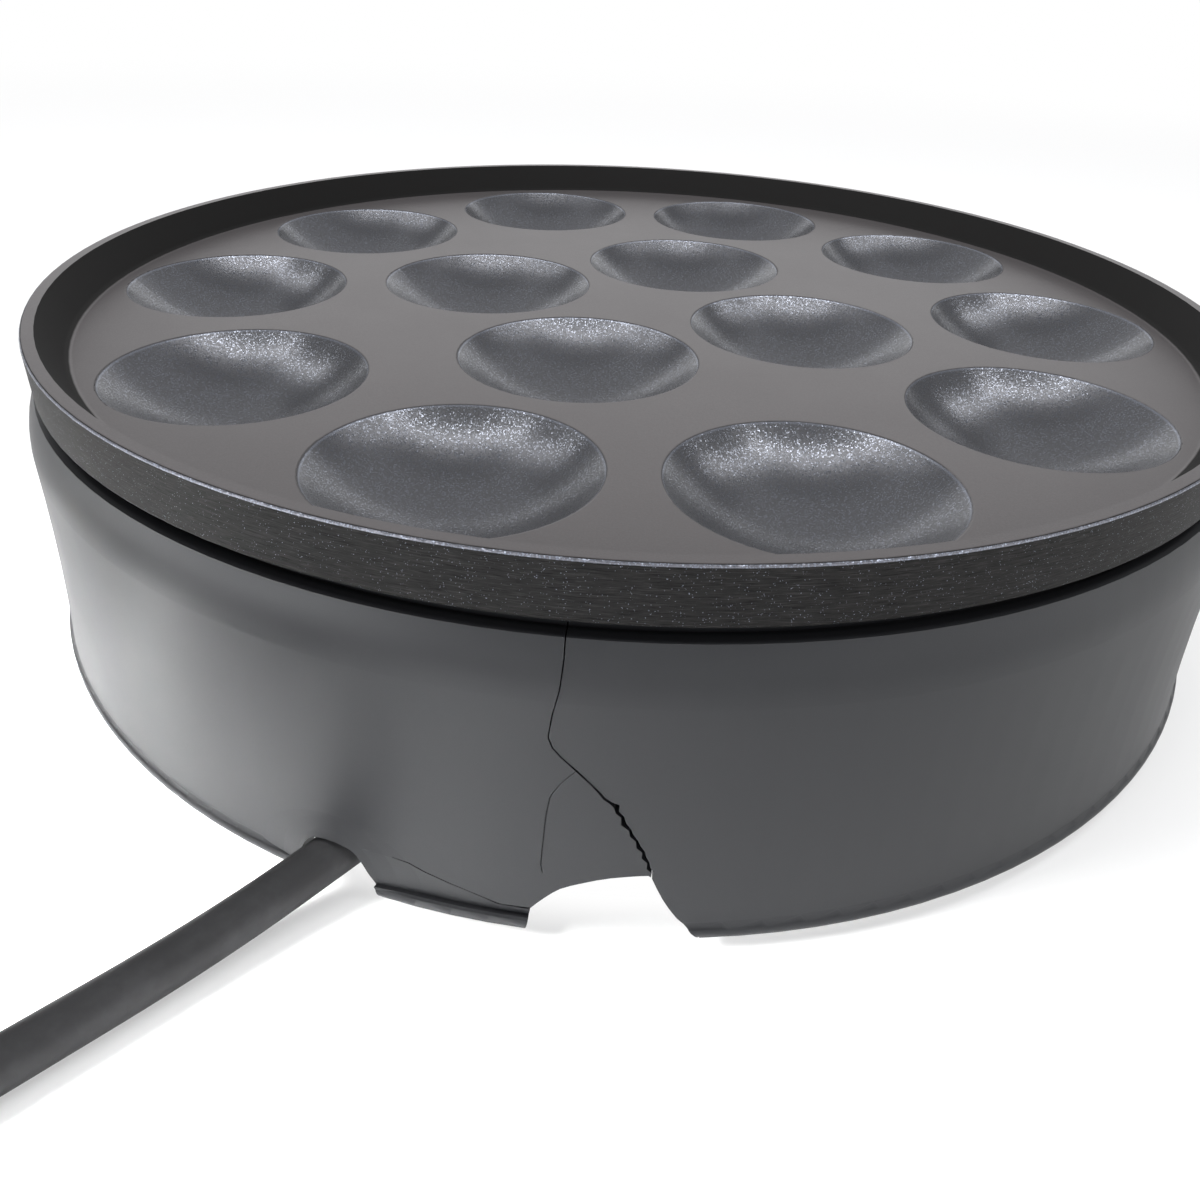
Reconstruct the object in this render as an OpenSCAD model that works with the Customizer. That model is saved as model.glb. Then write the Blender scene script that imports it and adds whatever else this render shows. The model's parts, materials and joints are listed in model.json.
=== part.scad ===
// Poffertjes maker: a round electric baking plate on a plastic housing.
// Millimetres. z is up and 0 is the table. The modules have the plate's axis at x = y = 0,
// and the last lines move all of it by frame_y, so that the footprint's middle is the origin.
// The cord leaves at the back (+y) and the control knob is at the front (-y).

/* [Baking plate] */
// Outer diameter of the plate
plate_d = 250; // [244:1:270]
// Height of the plate's outer edge
plate_edge_h = 9.8; // [9:0.1:12]
// Width of the flat top of the rim
rim_top_w = 2.5; // [1.5:0.1:4]
// Run of the rim's sloping inner wall, measured flat
rim_slope_w = 4; // [2:0.1:5]
// Depth of the baking floor below the rim
rim_h = 6.7; // [5.5:0.1:7.4]
// Thickness of the baking floor
floor_t = 4.6; // [4.2:0.1:6]
// Radius at the foot of the rim
rim_fillet = 1.6; // [0.8:0.1:2.5]

/* [Cavities] */
// Diameter of a cavity
cavity_d = 48; // [44:1:49]
// Depth of a cavity
cavity_depth = 10.5; // [9:0.1:12]
// Metal under a cavity
cavity_wall = 3; // [2.5:0.1:4]
// Rounding of a cavity's edge
cavity_lip = 0.8; // [0.4:0.1:1.5]
// Least metal between neighbours in a ring
cavity_web = 4; // [3:0.5:4.5]
// Flat between the outer ring and the rim
cavity_edge = 3; // [2.5:0.1:4]
// Flat between the two rings
ring_gap = 6; // [5:0.5:8]

/* [Housing] */
// Height from the lower edge to the ledge under the plate
housing_h = 52; // [51:1:60]
// How far the lower edge stands out past the plate
housing_flare = 5.6; // [5:0.1:8]
// Wall of the housing
wall_t = 2.6; // [2.2:0.1:3.2]
// Gap between the plate and the ledge
plate_gap = 2; // [1.6:0.1:3]
// Height of the rounded shoulder
shoulder_h = 9; // [6:0.5:12]
// Run of the rounded shoulder, measured flat
shoulder_w = 2.4; // [1.8:0.1:2.8]
// Height of the bead along the lower edge
bead_h = 2.4; // [2:0.1:3.2]
// How far the bead stands out
bead_out = 0.8; // [0.4:0.1:1.2]
// Cracks, break and loose strip as in the photo
housing_damage = true;

/* [Base] */
// Radius of the drum under the base, which the cord is wound around
drum_r = 95; // [93:1:98]
// Height of the groove around the drum
groove_h = 14.8; // [14.4:0.1:15.6]
// Thickness of the base cover
base_t = 2; // [1.8:0.1:2.3]
// Height of the feet
foot_h = 2.2; // [2:0.1:4]
// Diameter of a foot
foot_d = 16; // [12:1:20]

/* [Heating] */
// Diameter of the heating tube
element_d = 6.5; // [6:0.1:7]
// Thickness of the heat shield
shield_t = 0.8; // [0.6:0.1:1.2]
// Gap between the shield and the cavities above it
shield_gap = 4; // [3:0.1:4.5]

/* [Control] */
// Diameter of the knob
knob_d = 34; // [30:1:36]
// Length of the knob
knob_h = 15; // [12:0.5:18]
// Turn of the knob from off to full heat, in degrees
knob_turn = 270; // [180:5:300]
// Width of the control panel
panel_w = 84; // [80:1:90]
// Height of the control panel
panel_h = 38; // [37:0.5:40]
// How far the panel stands out from the housing
panel_out = 8.8; // [8:0.1:12]

/* [Cord] */
// Diameter of the cord
cord_d = 7.4; // [7:0.1:7.6]
// Radius of the outer turn of the put-away cord
coil_r = 45; // [44:0.5:50]
// Turns of the put-away cord, down and up again
coil_turns = 3.375; // [3.25:0.125:3.5]

/* [Hidden] */
$fn = 96;

// Clearances
fit_gap = 0.05;      // screw in its thread, sleeve on its pin
bore_gap = 0.3;      // screw in a plain hole
run_gap = 0.06;      // turning shaft in its bush
seat_gap = 0.1;      // piece laid against another
wire_gap = 0.3;      // end of a wire before its terminal
hub_gap = 1.5;       // plate in the opening of the housing
flange_gap = 0.5;    // base cover in the housing

// Heights
edge_z = foot_h;
ledge_z = edge_z + housing_h;
plate_low_z = ledge_z + plate_gap;
rim_z = plate_low_z + plate_edge_h;
floor_z = rim_z - rim_h;
hub_z = floor_z - floor_t;
waist_z = ledge_z - shoulder_h;
bead_z = edge_z + bead_h;
flange_z = edge_z + groove_h;
flange_top = flange_z + base_t;
base_floor = foot_h + base_t;
shield_top = floor_z - cavity_depth - cavity_wall - shield_gap;
shield_z = shield_top - shield_t;

// Plate
plate_r = plate_d/2;
floor_r = plate_r - rim_top_w - rim_slope_w;
hub_r = plate_r - 12;
cavity_r = cavity_d/2;
dish_r = (cavity_r*cavity_r + cavity_depth*cavity_depth)/(2*cavity_depth);
dish_z = floor_z - cavity_depth + dish_r;
outer_ring_r = floor_r - cavity_edge - cavity_r;
inner_room = outer_ring_r - cavity_d - ring_gap;
// where a ring has no room, one cavity sits in the middle
inner_ring_r = inner_room > (cavity_d + cavity_web)/2 ? inner_room : 0;
outer_count = floor(180/asin((cavity_d + cavity_web)/2/outer_ring_r));
inner_count = inner_ring_r > 0 ? floor(180/asin((cavity_d + cavity_web)/2/inner_ring_r)) : 1;
function cavity_angle(k, n) = 90 + k*360/n;
// angle of the gap between two cavities of a ring of n that lies nearest to a
function gap_angle(a, n) = 90 + (round((a - 90)*n/360 - 0.5) + 0.5)*360/n;
post_r = floor_r - 12.5;
post_angles = [for (a = [40, 140, 220, 320]) gap_angle(a, outer_count)];
plate_boss_d = 11;
plate_boss_z = hub_z - 3.7;

// Housing wall
waist_r = plate_r + 0.3 + shoulder_w;
base_out_r = plate_r + housing_flare;
base_r = base_out_r - bead_out;
ledge_t = 2.5;
opening_r = hub_r + hub_gap;
shoulder_arc = (shoulder_h*shoulder_h + shoulder_w*shoulder_w)/(2*shoulder_w);
flare_h = waist_z - bead_z;
flare_w = base_r - waist_r;
flare_arc = (flare_h*flare_h + flare_w*flare_w)/(2*flare_w);
// radius of the wall below the shoulder, at height z and at a depth below its outer face
function wall_r(z, depth) = waist_r + flare_arc - sqrt((flare_arc + depth)*(flare_arc + depth) - (z - waist_z)*(z - waist_z));

// Screws
m4_r = 2;
m3_r = 1.5;
tap_r = 1.75;
post_d = 11;
post_low_z = shield_z - 17;
base_boss_d = 9;
base_boss_r = plate_r - 9.5;
base_boss_angles = [60, 122, 240, 300];
base_boss_top = flange_top + 12;

// Heating element
element_r = outer_ring_r - cavity_r - ring_gap/2;
element_z = hub_z - element_d/2 - seat_gap;
element_mid = inner_ring_r > 0 ? gap_angle(225, inner_count) : 225;
clamp_angles = inner_ring_r > 0 ? [for (k = [0 : inner_count - 1]) cavity_angle(k + 0.5, inner_count)] : [for (a = [45, 135, 315]) gap_angle(a, outer_count)];
element_end = 15;
elbow_r = 7;
leg_low_z = shield_z - 10;
clamp_w = 10;
clamp_t = 1;
clamp_screw_r = element_r - 10.5;
// position of a leg: side is 1 or -1
function leg_angle(side) = element_mid + side*element_end;
function leg_xy(side) = element_r*[cos(leg_angle(side)), sin(leg_angle(side))] + side*elbow_r*[sin(leg_angle(side)), -cos(leg_angle(side))];

// Control
thermostat_w = 30;
thermostat_h = 17;
thermostat_l = 19;
control_z = shield_z - thermostat_h/2 - 2;
front_r = wall_r(control_z, 0);
front_in_r = wall_r(control_z, wall_t);
panel_y = -(front_r + panel_out);
panel_t = 2.4;
bracket_y = -(front_in_r - 8.2);
bracket_t = 1.5;
bracket_x = 20;
bracket_w = 2*bracket_x + 9;
bracket_h = thermostat_h - 0.6;
shaft_r = 3;
bush_r = 4;
lamp_x = 30;
panel_screw_x = 12;
panel_screw_z = control_z + 11;
panel_screw_y = sqrt(pow(wall_r(panel_screw_z, wall_t), 2) - panel_screw_x*panel_screw_x) - 0.35;
knob_back_y = panel_y - 0.8;
knob_front_y = knob_back_y - knob_h;
pointer_l = 9;
pointer_z = control_z + knob_d/2 - 4 - pointer_l;

// Middle of the footprint, which is the origin of the part
frame_y = round((-knob_front_y - base_out_r)/2);

// Sensor
// the first of these gaps that is clear of the posts and of the thermostat
sensor_a = [for (a = [288, 302, 345]) let (g = gap_angle(a, outer_count)) if (min([for (b = concat(post_angles, [270])) abs(g - b)]) > 12) g][0];
sensor_d = 5;
sensor_z = hub_z - sensor_d/2 - seat_gap;
sensor_out_r = hub_r - 5;
sensor_clip_r = hub_r - 7.5;
sensor_tab = 6.8;
sensor_boss = 3;                          // boss under the plate that the clip's tab sits on
sensor_drop_r = hub_r - 2.5;

// Terminal block, fuse and earth
block_p = [-40, 20];
block_size = [34, 16, 12];
fuse_p = [-10, -40];
fuse_d = 4.4;
fuse_l = 12;
fuse_z = shield_z - fuse_d/2 - seat_gap;
earth_p = [-12, 24];

// Cord: it runs straight from its gland on the drum through the arch
cord_r = cord_d/2;
cord_angle = 87.7;
cord_heading = 64.1;
cord_out = [cos(cord_heading), sin(cord_heading)];
cord_side = [sin(cord_heading), -cos(cord_heading)];
gland_z = base_floor + cord_r + 0.2;
arch_p = wall_r(bead_z + 1, 0)*[cos(cord_angle), sin(cord_angle)];
arch_run = arch_p*cord_out - sqrt(pow(arch_p*cord_out, 2) - arch_p*arch_p + drum_r*drum_r);
drum_p = arch_p - arch_run*cord_out;      // where the cord's line meets the drum
gland_boss = 5;                           // boss, collar and tail, along the cord from drum_p
gland_collar = 7;
gland_tail = 21;
gland_back = -9;
inner_end = -32;
clamp_s = -22;
clamp_peg = 9;
clamp_z = gland_z + cord_r + seat_gap;
function along(s) = drum_p + s*cord_out;
mouth = along(gland_tail);
// route of the free cord from the mouth of the gland, with its height above lying on the table
cord_route = [[0, 0, 4.4], [3.5, 7.2, 4.4], [7, 14.4, 3.3], [10.5, 21.6, 2.1], [14.9, 30.6, 0.9], [20.1, 41.4, 0.2], [26.2, 54, 0.1], [33.2, 68.4, 0.2], [40.2, 82.8, 0.7], [46.3, 95.3, 1.1], [49.5, 101.9, 1.1]];
lead_points = [for (i = [0 : len(cord_route) - 1]) let (p = cord_route[i]) [mouth.x + p.x, mouth.y + p.y, i < 2 ? gland_z : cord_r + p.z]];

// Put-away cord: two layers, in on the lower one and out on the upper one
coil_gap = 0.7;
coil_pitch = cord_d + coil_gap;
coil_low_z = cord_r + 1.1;
coil_start = lead_points[len(lead_points) - 1];
coil_c = [coil_start.x, coil_start.y] + cord_d*cord_out + coil_r*cord_side;
coil_sweep = 360*coil_turns;
coil_from = cord_heading + 90;
function coil_at(t) = coil_r - coil_pitch*min(t, coil_sweep - t)/360;
function coil_rise(t) = let (u = min(max((t - coil_sweep/2 + 90)/180, 0), 1)) u*u*(3 - 2*u);
function coil_point(t) = [coil_c.x + coil_at(t)*cos(coil_from - t), coil_c.y + coil_at(t)*sin(coil_from - t), coil_low_z + coil_pitch*coil_rise(t)];
coil_steps = round(24*coil_turns);
coil_turn_points = [for (i = [0 : coil_steps]) coil_point(coil_sweep*i/coil_steps)];
coil_end = coil_turn_points[coil_steps];
end_heading = coil_from - coil_sweep - 90;
end_dir = [cos(end_heading), sin(end_heading)];
plug_r = 18.5;
plug_z = plug_r + 0.7;
end_run = 36;
end_points = [for (u = [1/6 : 1/6 : 1.001]) [coil_end.x + u*end_run*end_dir.x, coil_end.y + u*end_run*end_dir.y, coil_end.z + (plug_z - coil_end.z)*(1 - cos(180*u))/2]];
plug_p = [coil_end.x + (end_run + cord_d)*end_dir.x, coil_end.y + (end_run + cord_d)*end_dir.y, plug_z];
coil_points = concat([coil_start], coil_turn_points, end_points, [plug_p]);
coil_self_gap = min([for (i = [0 : coil_steps]) for (j = [i + 12 : 1 : coil_steps]) norm(coil_turn_points[i] - coil_turn_points[j])]) - cord_d;
echo(coil_self_gap = coil_self_gap);
function run(p) = len(p) < 2 ? 0 : [for (i = 0, s = 0; i < len(p); s = s + (i < len(p) - 1 ? norm(p[i + 1] - p[i]) : 0), i = i + 1) s][len(p) - 1];
echo(cord_length = run(lead_points) + run(coil_points));
tie_t = 0.6;
tie_w = 4;
tie_a = 90;
tie_gap = 0.4;

// Shapes of the damage: across and up from the lower edge, read from the photo
damage_angle = 106.8;
break_outline = [[-11.6, -3], [-10.9, -1.2], [-10.3, 0], [-9.9, 1.8], [-9.6, 3.6], [-9.4, 4.4], [-8.5, 5.5], [-7.5, 6.6], [-6.2, 7.9], [-5.1, 8.8], [-3.6, 9.6], [-1.9, 10.3], [0.2, 11.1], [2.3, 11.7], [4.4, 12.1], [6.5, 12.4], [7.8, 12.5], [8.3, 12.1], [9.2, 10], [10.2, 7.9], [11.3, 6], [12.6, 4.1], [14, 2.6], [15.4, 1.2], [17, -0.6], [18.4, -3]];
// each point has the width of the crack as its third number
crack_path = [[8.3, 11.9, 0.3], [8.4, 13.1, 0.3], [7.7, 14, 0.5], [7.6, 15.1, 0.3], [6.9, 16, 0.6], [6.8, 17.1, 0.35], [6, 18, 0.6], [5.7, 19.2, 0.3], [4.9, 20.1, 0.5], [4.6, 21.2, 0.35], [3.6, 22.3, 0.7], [3.4, 23.6, 0.4], [2.6, 24.4, 0.5], [2.5, 25.5, 0.8], [1.6, 26.1, 0.4], [0.6, 26.9, 0.35], [-0.2, 28, 0.3], [-1.5, 29.5, 0.25], [-3.4, 31.5, 0.25], [-5.6, 33.7, 0.2], [-6.8, 35.2, 0.2], [-7.4, 37, 0.2], [-6.9, 40.9, 0.2], [-6, 45.1, 0.2], [-5.6, 49.3, 0.2], [-5.4, 70, 0.2]];
hair_path = [[-7.8, 11.6, 0.1], [-8.1, 13.1, 0.15], [-7.8, 18, 0.2], [-7.4, 23.4, 0.2], [-7, 26.3, 0.2], [-5.4, 29.1, 0.2], [-3.2, 31.7, 0.25]];
hair_depth = 0.6;
strip_angle = 97;
strip_path = [[-9.4, 8.9, 0.2], [-6.7, 8.5, 0.35], [-4, 7.4, 0.45], [-0.6, 6.4, 0.55], [2.9, 5.4, 0.6], [5.5, 4.6, 0.7], [7.5, 3.9, 0.9], [9.8, 3.9, 1.2], [14, 3.9, 1.4]];
strip_low = [[14, 2.3], [-13.2, 2.3], [-15.5, 4], [-17.5, 8], [-17, 9.2]];
strip_tilt = 5;
strip_pivot = 9.6;
// Arch for the cord, in the same way
arch_outline = [[-4.5, -3], [-4.5, 0], [-4.5, 3], [-4.4, 4.9], [-3.9, 6.4], [-2.8, 7.9], [-0.9, 8.8], [1.3, 9.1], [3.4, 8.9], [5.3, 8.1], [6.6, 6.4], [7.6, 4.4], [8.4, 2.9], [9, 1.4], [9.7, -0.1], [10.8, -1.3], [13, -3]];
// Swelling of the wall around the arch: its middle, and half the width, half the height and the thickness of each step
hood_at = [1.9, 3];
hood_steps = [[9.5, 9.6, 1.4], [12, 11.2, 0.9], [14.5, 12.8, 0.45]];

// Turns a path with widths into an outline
function outline(p) = concat([for (q = p) [q.x - q.z/2, q.y - q.z/3]], [for (i = [len(p) - 1 : -1 : 0]) [p[i].x + p[i].z/2, p[i].y + p[i].z/3]]);

// Smooth line through points, with k steps to a span
function between(a, b, c, d, u) = 0.5*(2*b + (c - a)*u + (2*a - 5*b + 4*c - d)*u*u + (3*b - a - 3*c + d)*u*u*u);
function smooth(p, k) = concat([for (i = [0 : len(p) - 2]) for (j = [0 : k - 1]) between(p[max(i - 1, 0)], p[i], p[i + 1], p[min(i + 2, len(p) - 1)], j/k)], [p[len(p) - 1]]);

// Tube along points: rings that keep square to the line, with closed ends
function unit(v) = v/norm(v);
function across(v) = unit(cross(v, abs(v.z) < 0.9 ? [0, 0, 1] : [1, 0, 0]));
function tangents(p) = [for (i = [0 : len(p) - 1]) unit(p[min(i + 1, len(p) - 1)] - p[max(i - 1, 0)])];
function carried(n, t) = unit(n - (n*t)*t);
function normals(t) = [for (i = 0, n = across(t[0]); i < len(t); i = i + 1, n = carried(n, t[min(i, len(t) - 1)])) n];
module tube(p, d, sides) {
    t = tangents(p);
    n = normals(t);
    m = len(p);
    rings = [for (i = [0 : m - 1]) for (k = [0 : sides - 1]) p[i] + d/2*(cos(360*k/sides)*n[i] + sin(360*k/sides)*cross(t[i], n[i]))];
    skin = [for (i = [0 : m - 2]) for (k = [0 : sides - 1]) for (f = [0, 1])
        let (a = i*sides + k, b = i*sides + (k + 1)%sides)
        f == 0 ? [a, a + sides, b] : [b, a + sides, b + sides]];
    first = [[for (k = [0 : sides - 1]) k]];
    last = [[for (k = [sides - 1 : -1 : 0]) (m - 1)*sides + k]];
    polyhedron(rings, concat(skin, first, last));
}
module wire(p, d = 2.2) tube(smooth(p, 4), d, 8);

// Places and directions
module at_angle(a, r = 0) rotate([0, 0, a]) translate([r, 0, 0]) children();
module outwards(from, to) translate([from, 0, 0]) rotate([90, 0, 90]) linear_extrude(to - from) children();
module forwards(x, z, y) translate([x, y, z]) rotate([90, 0, 0]) children();
module on_cord(s) translate([along(s).x, along(s).y, gland_z]) rotate([0, 0, cord_heading]) rotate([0, 90, 0]) children();
module ring(r_out, r_in, h) difference() {
    cylinder(h, r = r_out);
    translate([0, 0, -1]) cylinder(h + 2, r = r_in);
}
// cuts a convex corner round: the corner is at p and the piece lies along the two turned axes
module round_off(p, a, r) translate(p) rotate(a) difference() {
    translate([-1, -1]) square(r + 1);
    translate([r, r]) circle(r);
}

// Plate
module plate_outline() {
    slope = atan(rim_h/rim_slope_w);
    reach = rim_fillet/tan(90 - slope/2);
    difference() {
        union() {
            translate([0, hub_z]) square([hub_r, floor_t]);
            translate([0, plate_low_z]) square([plate_r, floor_z - plate_low_z]);
            polygon([[floor_r, floor_z], [floor_r, floor_z - 1], [plate_r, floor_z - 1], [plate_r, rim_z], [plate_r - rim_top_w, rim_z]]);
            difference() {
                polygon([[floor_r, floor_z - 0.5], [floor_r - reach, floor_z - 0.5], [floor_r - reach, floor_z], [floor_r - reach, floor_z + rim_fillet], [floor_r + reach*cos(slope), floor_z + reach*sin(slope)], [floor_r + 0.5, floor_z - 0.5]]);
                translate([floor_r - reach, floor_z + rim_fillet]) circle(rim_fillet);
            }
        }
        round_off([plate_r, rim_z], 180, 0.6);
        round_off([plate_r, plate_low_z], 90, 0.8);
    }
}
module cavity_cut() {
    // the lip's circle cuts 0.03 into the dish, so that the two meet in a clean edge
    lip_reach = dish_r + cavity_lip - 0.03;
    lip_x = sqrt(pow(lip_reach, 2) - pow(dish_z - floor_z + cavity_lip, 2));
    k = (dish_r - 0.6)/lip_reach;
    rotate_extrude() {
        intersection() {
            translate([0, dish_z - floor_z]) circle(dish_r, $fn = 180);
            translate([0, -cavity_depth + 0.05]) square([lip_x + 1, cavity_depth + 0.2]);
        }
        difference() {
            polygon([[0, 0.5], [lip_x, 0.5], [lip_x, -cavity_lip], [lip_x*k, (dish_z - floor_z)*(1 - k) - cavity_lip*k], [0, -cavity_lip]]);
            translate([lip_x, -cavity_lip]) circle(cavity_lip);
        }
    }
}
module cavity_bulge() intersection() {
    translate([0, 0, dish_z]) sphere(dish_r + cavity_wall, $fn = 128);
    translate([0, 0, floor_z - cavity_depth - cavity_wall + 0.05]) cylinder(cavity_depth + cavity_wall - 1, r = cavity_r + 1);
}
module each_cavity() {
    for (k = [0 : outer_count - 1]) at_angle(cavity_angle(k, outer_count), outer_ring_r) children();
    for (k = [0 : inner_count - 1]) at_angle(cavity_angle(k, inner_count), inner_ring_r) children();
}
module each_clamp() for (a = clamp_angles) if (cos(a - element_mid) < 0.9) rotate([0, 0, a]) children();
module baking_plate() color([0.28, 0.27, 0.28]) difference() {
    union() {
        rotate_extrude($fn = 180) plate_outline();
        each_cavity() cavity_bulge();
        for (a = post_angles) at_angle(a, post_r) translate([0, 0, plate_boss_z]) cylinder(hub_z - plate_boss_z + 1, d = plate_boss_d);
        at_angle(sensor_a, sensor_clip_r) translate([0, sensor_tab, hub_z - sensor_boss]) cylinder(sensor_boss + 1, r = 2.9);
    }
    each_cavity() translate([0, 0, floor_z]) cavity_cut();
    for (a = post_angles) at_angle(a, post_r) translate([0, 0, plate_boss_z - 1]) cylinder(floor_z - 1.8 - plate_boss_z + 1, r = m4_r + fit_gap);
    each_clamp() translate([clamp_screw_r, 0, hub_z - 1]) cylinder(4.2, r = m3_r + fit_gap);
    at_angle(sensor_a, sensor_clip_r) translate([0, sensor_tab, hub_z - sensor_boss - 1]) cylinder(4.2, r = m3_r + fit_gap);
}

// Heating
module element_leg(side) rotate([0, 0, leg_angle(side)]) translate([element_r, 0, element_z]) {
    translate([0, 0, -elbow_r]) rotate([0, 0, side > 0 ? 180 : 0]) rotate([90, 0, 90]) rotate_extrude(angle = 90) translate([elbow_r, 0]) circle(d = element_d, $fn = 48);
    translate([0, -side*elbow_r, leg_low_z - element_z]) cylinder(element_z - elbow_r - leg_low_z, d = element_d, $fn = 48);
    translate([0, 0.6, 0]) rotate([90, 0, 0]) cylinder(1.2, d = element_d + 0.16, $fn = 48);
    translate([0, -side*elbow_r, -elbow_r - 0.6]) cylinder(1.2, d = element_d + 0.16, $fn = 48);
}
module heating_element() color([0.45, 0.43, 0.42]) {
    rotate([0, 0, element_mid + element_end]) translate([0, 0, element_z]) rotate_extrude(angle = 360 - 2*element_end, $fn = 180) translate([element_r, 0]) circle(d = element_d, $fn = 48);
    element_leg(1);
    element_leg(-1);
}
module each_leg() for (side = [-1, 1]) translate([leg_xy(side).x, leg_xy(side).y, 0]) children();
module element_insulators() color([0.92, 0.9, 0.85]) each_leg() {
    translate([0, 0, shield_z - 3]) ring(element_d/2 + 2.4, element_d/2 + seat_gap, shield_t + 3 + 1.5);
    translate([0, 0, shield_top]) ring(element_d/2 + 4.2, element_d/2 + seat_gap, 1.5);
}
module element_terminals() color([0.75, 0.72, 0.6]) each_leg() {
    translate([0, 0, leg_low_z - 5]) cylinder(5, r = 1.5, $fn = 32);
    translate([-3.15, -0.4, leg_low_z - 12]) cube([6.3, 0.8, 8]);
}
// strap over a tube of diameter d that hangs below height 0, with a flat tab out to the screw, drop below 0
module strap(d, w, tab, margin = 3.4, drop = 0) {
    r = d/2 + 0.25;
    rotate([90, 0, 0]) translate([0, 0, -w/2]) linear_extrude(w) difference() {
        union() {
            translate([0, -d/2 - seat_gap]) circle(r + clamp_t, $fn = 48);
            translate([-r - clamp_t, -d/2 - seat_gap]) square([2*(r + clamp_t), d/2 + seat_gap]);
            translate([-tab - margin, -drop - clamp_t]) square([tab + margin, clamp_t]);
        }
        translate([0, -d/2 - seat_gap]) circle(r, $fn = 48);
        translate([-r, -d/2 - seat_gap]) square([2*r, d]);
        translate([-tab - 10, 0]) square([2*tab + 20, d]);
    }
}
module clamp_screw() {
    translate([0, 0, -clamp_t - 2.2]) cylinder(2.2, r = 2.7, $fn = 32);
    translate([0, 0, -clamp_t - 0.5]) cylinder(clamp_t + 0.5 + 3, r = m3_r, $fn = 32);
}
module clamp_hole() translate([0, 0, -clamp_t - 1]) cylinder(clamp_t + 2, r = m3_r + 0.2, $fn = 32);
module element_clamps() color([0.62, 0.62, 0.63]) each_clamp() translate([element_r, 0, hub_z]) difference() {
    strap(element_d, clamp_w, element_r - clamp_screw_r);
    translate([clamp_screw_r - element_r, 0, 0]) clamp_hole();
}
module sensor_place() at_angle(sensor_a, sensor_clip_r) rotate([0, 0, -90]) translate([0, 0, hub_z]) children();
module clamp_screws() color([0.7, 0.7, 0.7]) {
    each_clamp() translate([clamp_screw_r, 0, hub_z]) clamp_screw();
    sensor_place() translate([-sensor_tab, 0, -sensor_boss]) clamp_screw();
}
module heat_shield() color([0.7, 0.71, 0.72]) difference() {
    translate([0, 0, shield_z]) rotate_extrude($fn = 180) polygon([[0, 0], [hub_r - 1, 0], [hub_r - 1, 4.5], [hub_r - 1 - shield_t, 4.5], [hub_r - 1 - shield_t, shield_t], [0, shield_t]]);
    for (a = post_angles) at_angle(a, post_r) translate([0, 0, shield_z - 1]) cylinder(shield_t + 2, r = m4_r + bore_gap);
    each_leg() translate([0, 0, shield_z - 1]) cylinder(shield_t + 2, r = element_d/2 + 2.6);
    at_angle(sensor_a, sensor_drop_r) translate([0, 0, shield_z - 1]) cylinder(8, r = 2.6);
}
module plate_spacers() color([0.8, 0.78, 0.72]) for (a = post_angles) at_angle(a, post_r) translate([0, 0, shield_top]) ring(5, m4_r + bore_gap, plate_boss_z - shield_top);
module plate_screws() color([0.68, 0.68, 0.69]) for (a = post_angles) at_angle(a, post_r) difference() {
    union() {
        translate([0, 0, post_low_z - 3]) cylinder(3, r = 4, $fn = 48);
        translate([0, 0, post_low_z - 1]) cylinder(floor_z - 2.4 - post_low_z + 1, r = m4_r, $fn = 48);
    }
    translate([-5, -0.6, post_low_z - 4]) cube([10, 1.2, 2.2]);
}

// Housing
module wall_outline(depth, low, top) {
    intersection() {
        translate([waist_r - shoulder_arc, waist_z]) circle(shoulder_arc - depth, $fn = 360);
        translate([0, waist_z]) square([waist_r + 10, top - waist_z]);
    }
    difference() {
        translate([0, low]) square([waist_r + 15, waist_z - low]);
        translate([waist_r + flare_arc, waist_z]) circle(flare_arc + depth, $fn = 1440);
    }
}
module housing_outline() {
    bead_r = bead_h/2;
    bead_x = base_out_r - bead_r;
    foot_x = wall_r(bead_z + 0.6, 0);
    fillet = 1.2;
    fillet_z = edge_z + bead_r + sqrt(pow(bead_r + fillet, 2) - pow(foot_x + fillet - bead_x, 2));
    difference() {
        union() {
            wall_outline(0, edge_z, ledge_z);
            translate([bead_x, edge_z + bead_r]) circle(bead_r, $fn = 48);
            translate([base_r - wall_t, edge_z]) square([bead_x - base_r + wall_t, bead_h]);
            polygon([[foot_x - 1, edge_z + bead_r], [foot_x - 1, fillet_z], [foot_x, fillet_z], [bead_x + 0.64*bead_r, edge_z + 1.77*bead_r], [bead_x + 0.64*bead_r, edge_z + bead_r]]);
        }
        wall_outline(wall_t, edge_z - 1, ledge_z - ledge_t);
        translate([0, edge_z - 2]) square([opening_r, housing_h + 4]);
        translate([foot_x + fillet, fillet_z]) circle(fillet + 0.04, $fn = 64);
        translate([plate_r - 3.6, ledge_z - 0.8]) square([1.8, 2]);
    }
}
module stand(r, d, low, top) at_angle(0, r) {
    translate([0, 0, low]) cylinder(top - low, d = d);
    translate([0, -1.5, low]) cube([waist_r - wall_t/2 - r, 3, top - low]);
}
module arch_hood() {
    z = edge_z + hood_at.y;
    lean = asin((waist_z - z)/flare_arc);
    at_angle(cord_angle + hood_at.x/base_r*180/PI) difference() {
        intersection() {
            union() for (h = hood_steps) {
                r_up = h.y*h.y/(2*h.z);
                r_across = 1/(2*h.z/(h.x*h.x) + 1/base_r);
                translate([wall_r(z, 0) - (r_up - h.z)*cos(lean), 0, z - (r_up - h.z)*sin(lean)]) rotate([90, 0, 0]) rotate_extrude($fn = 180) intersection() {
                    translate([r_up - r_across, 0]) circle(r_across, $fn = 180);
                    translate([0, -r_across]) square([r_up + 1, 2*r_across]);
                }
            }
            translate([drum_r, -20, edge_z + 1]) cube([60, 40, 30]);
        }
        rotate_extrude($fn = 180) wall_outline(wall_t/2, edge_z - 60, ledge_z);
    }
}
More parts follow.
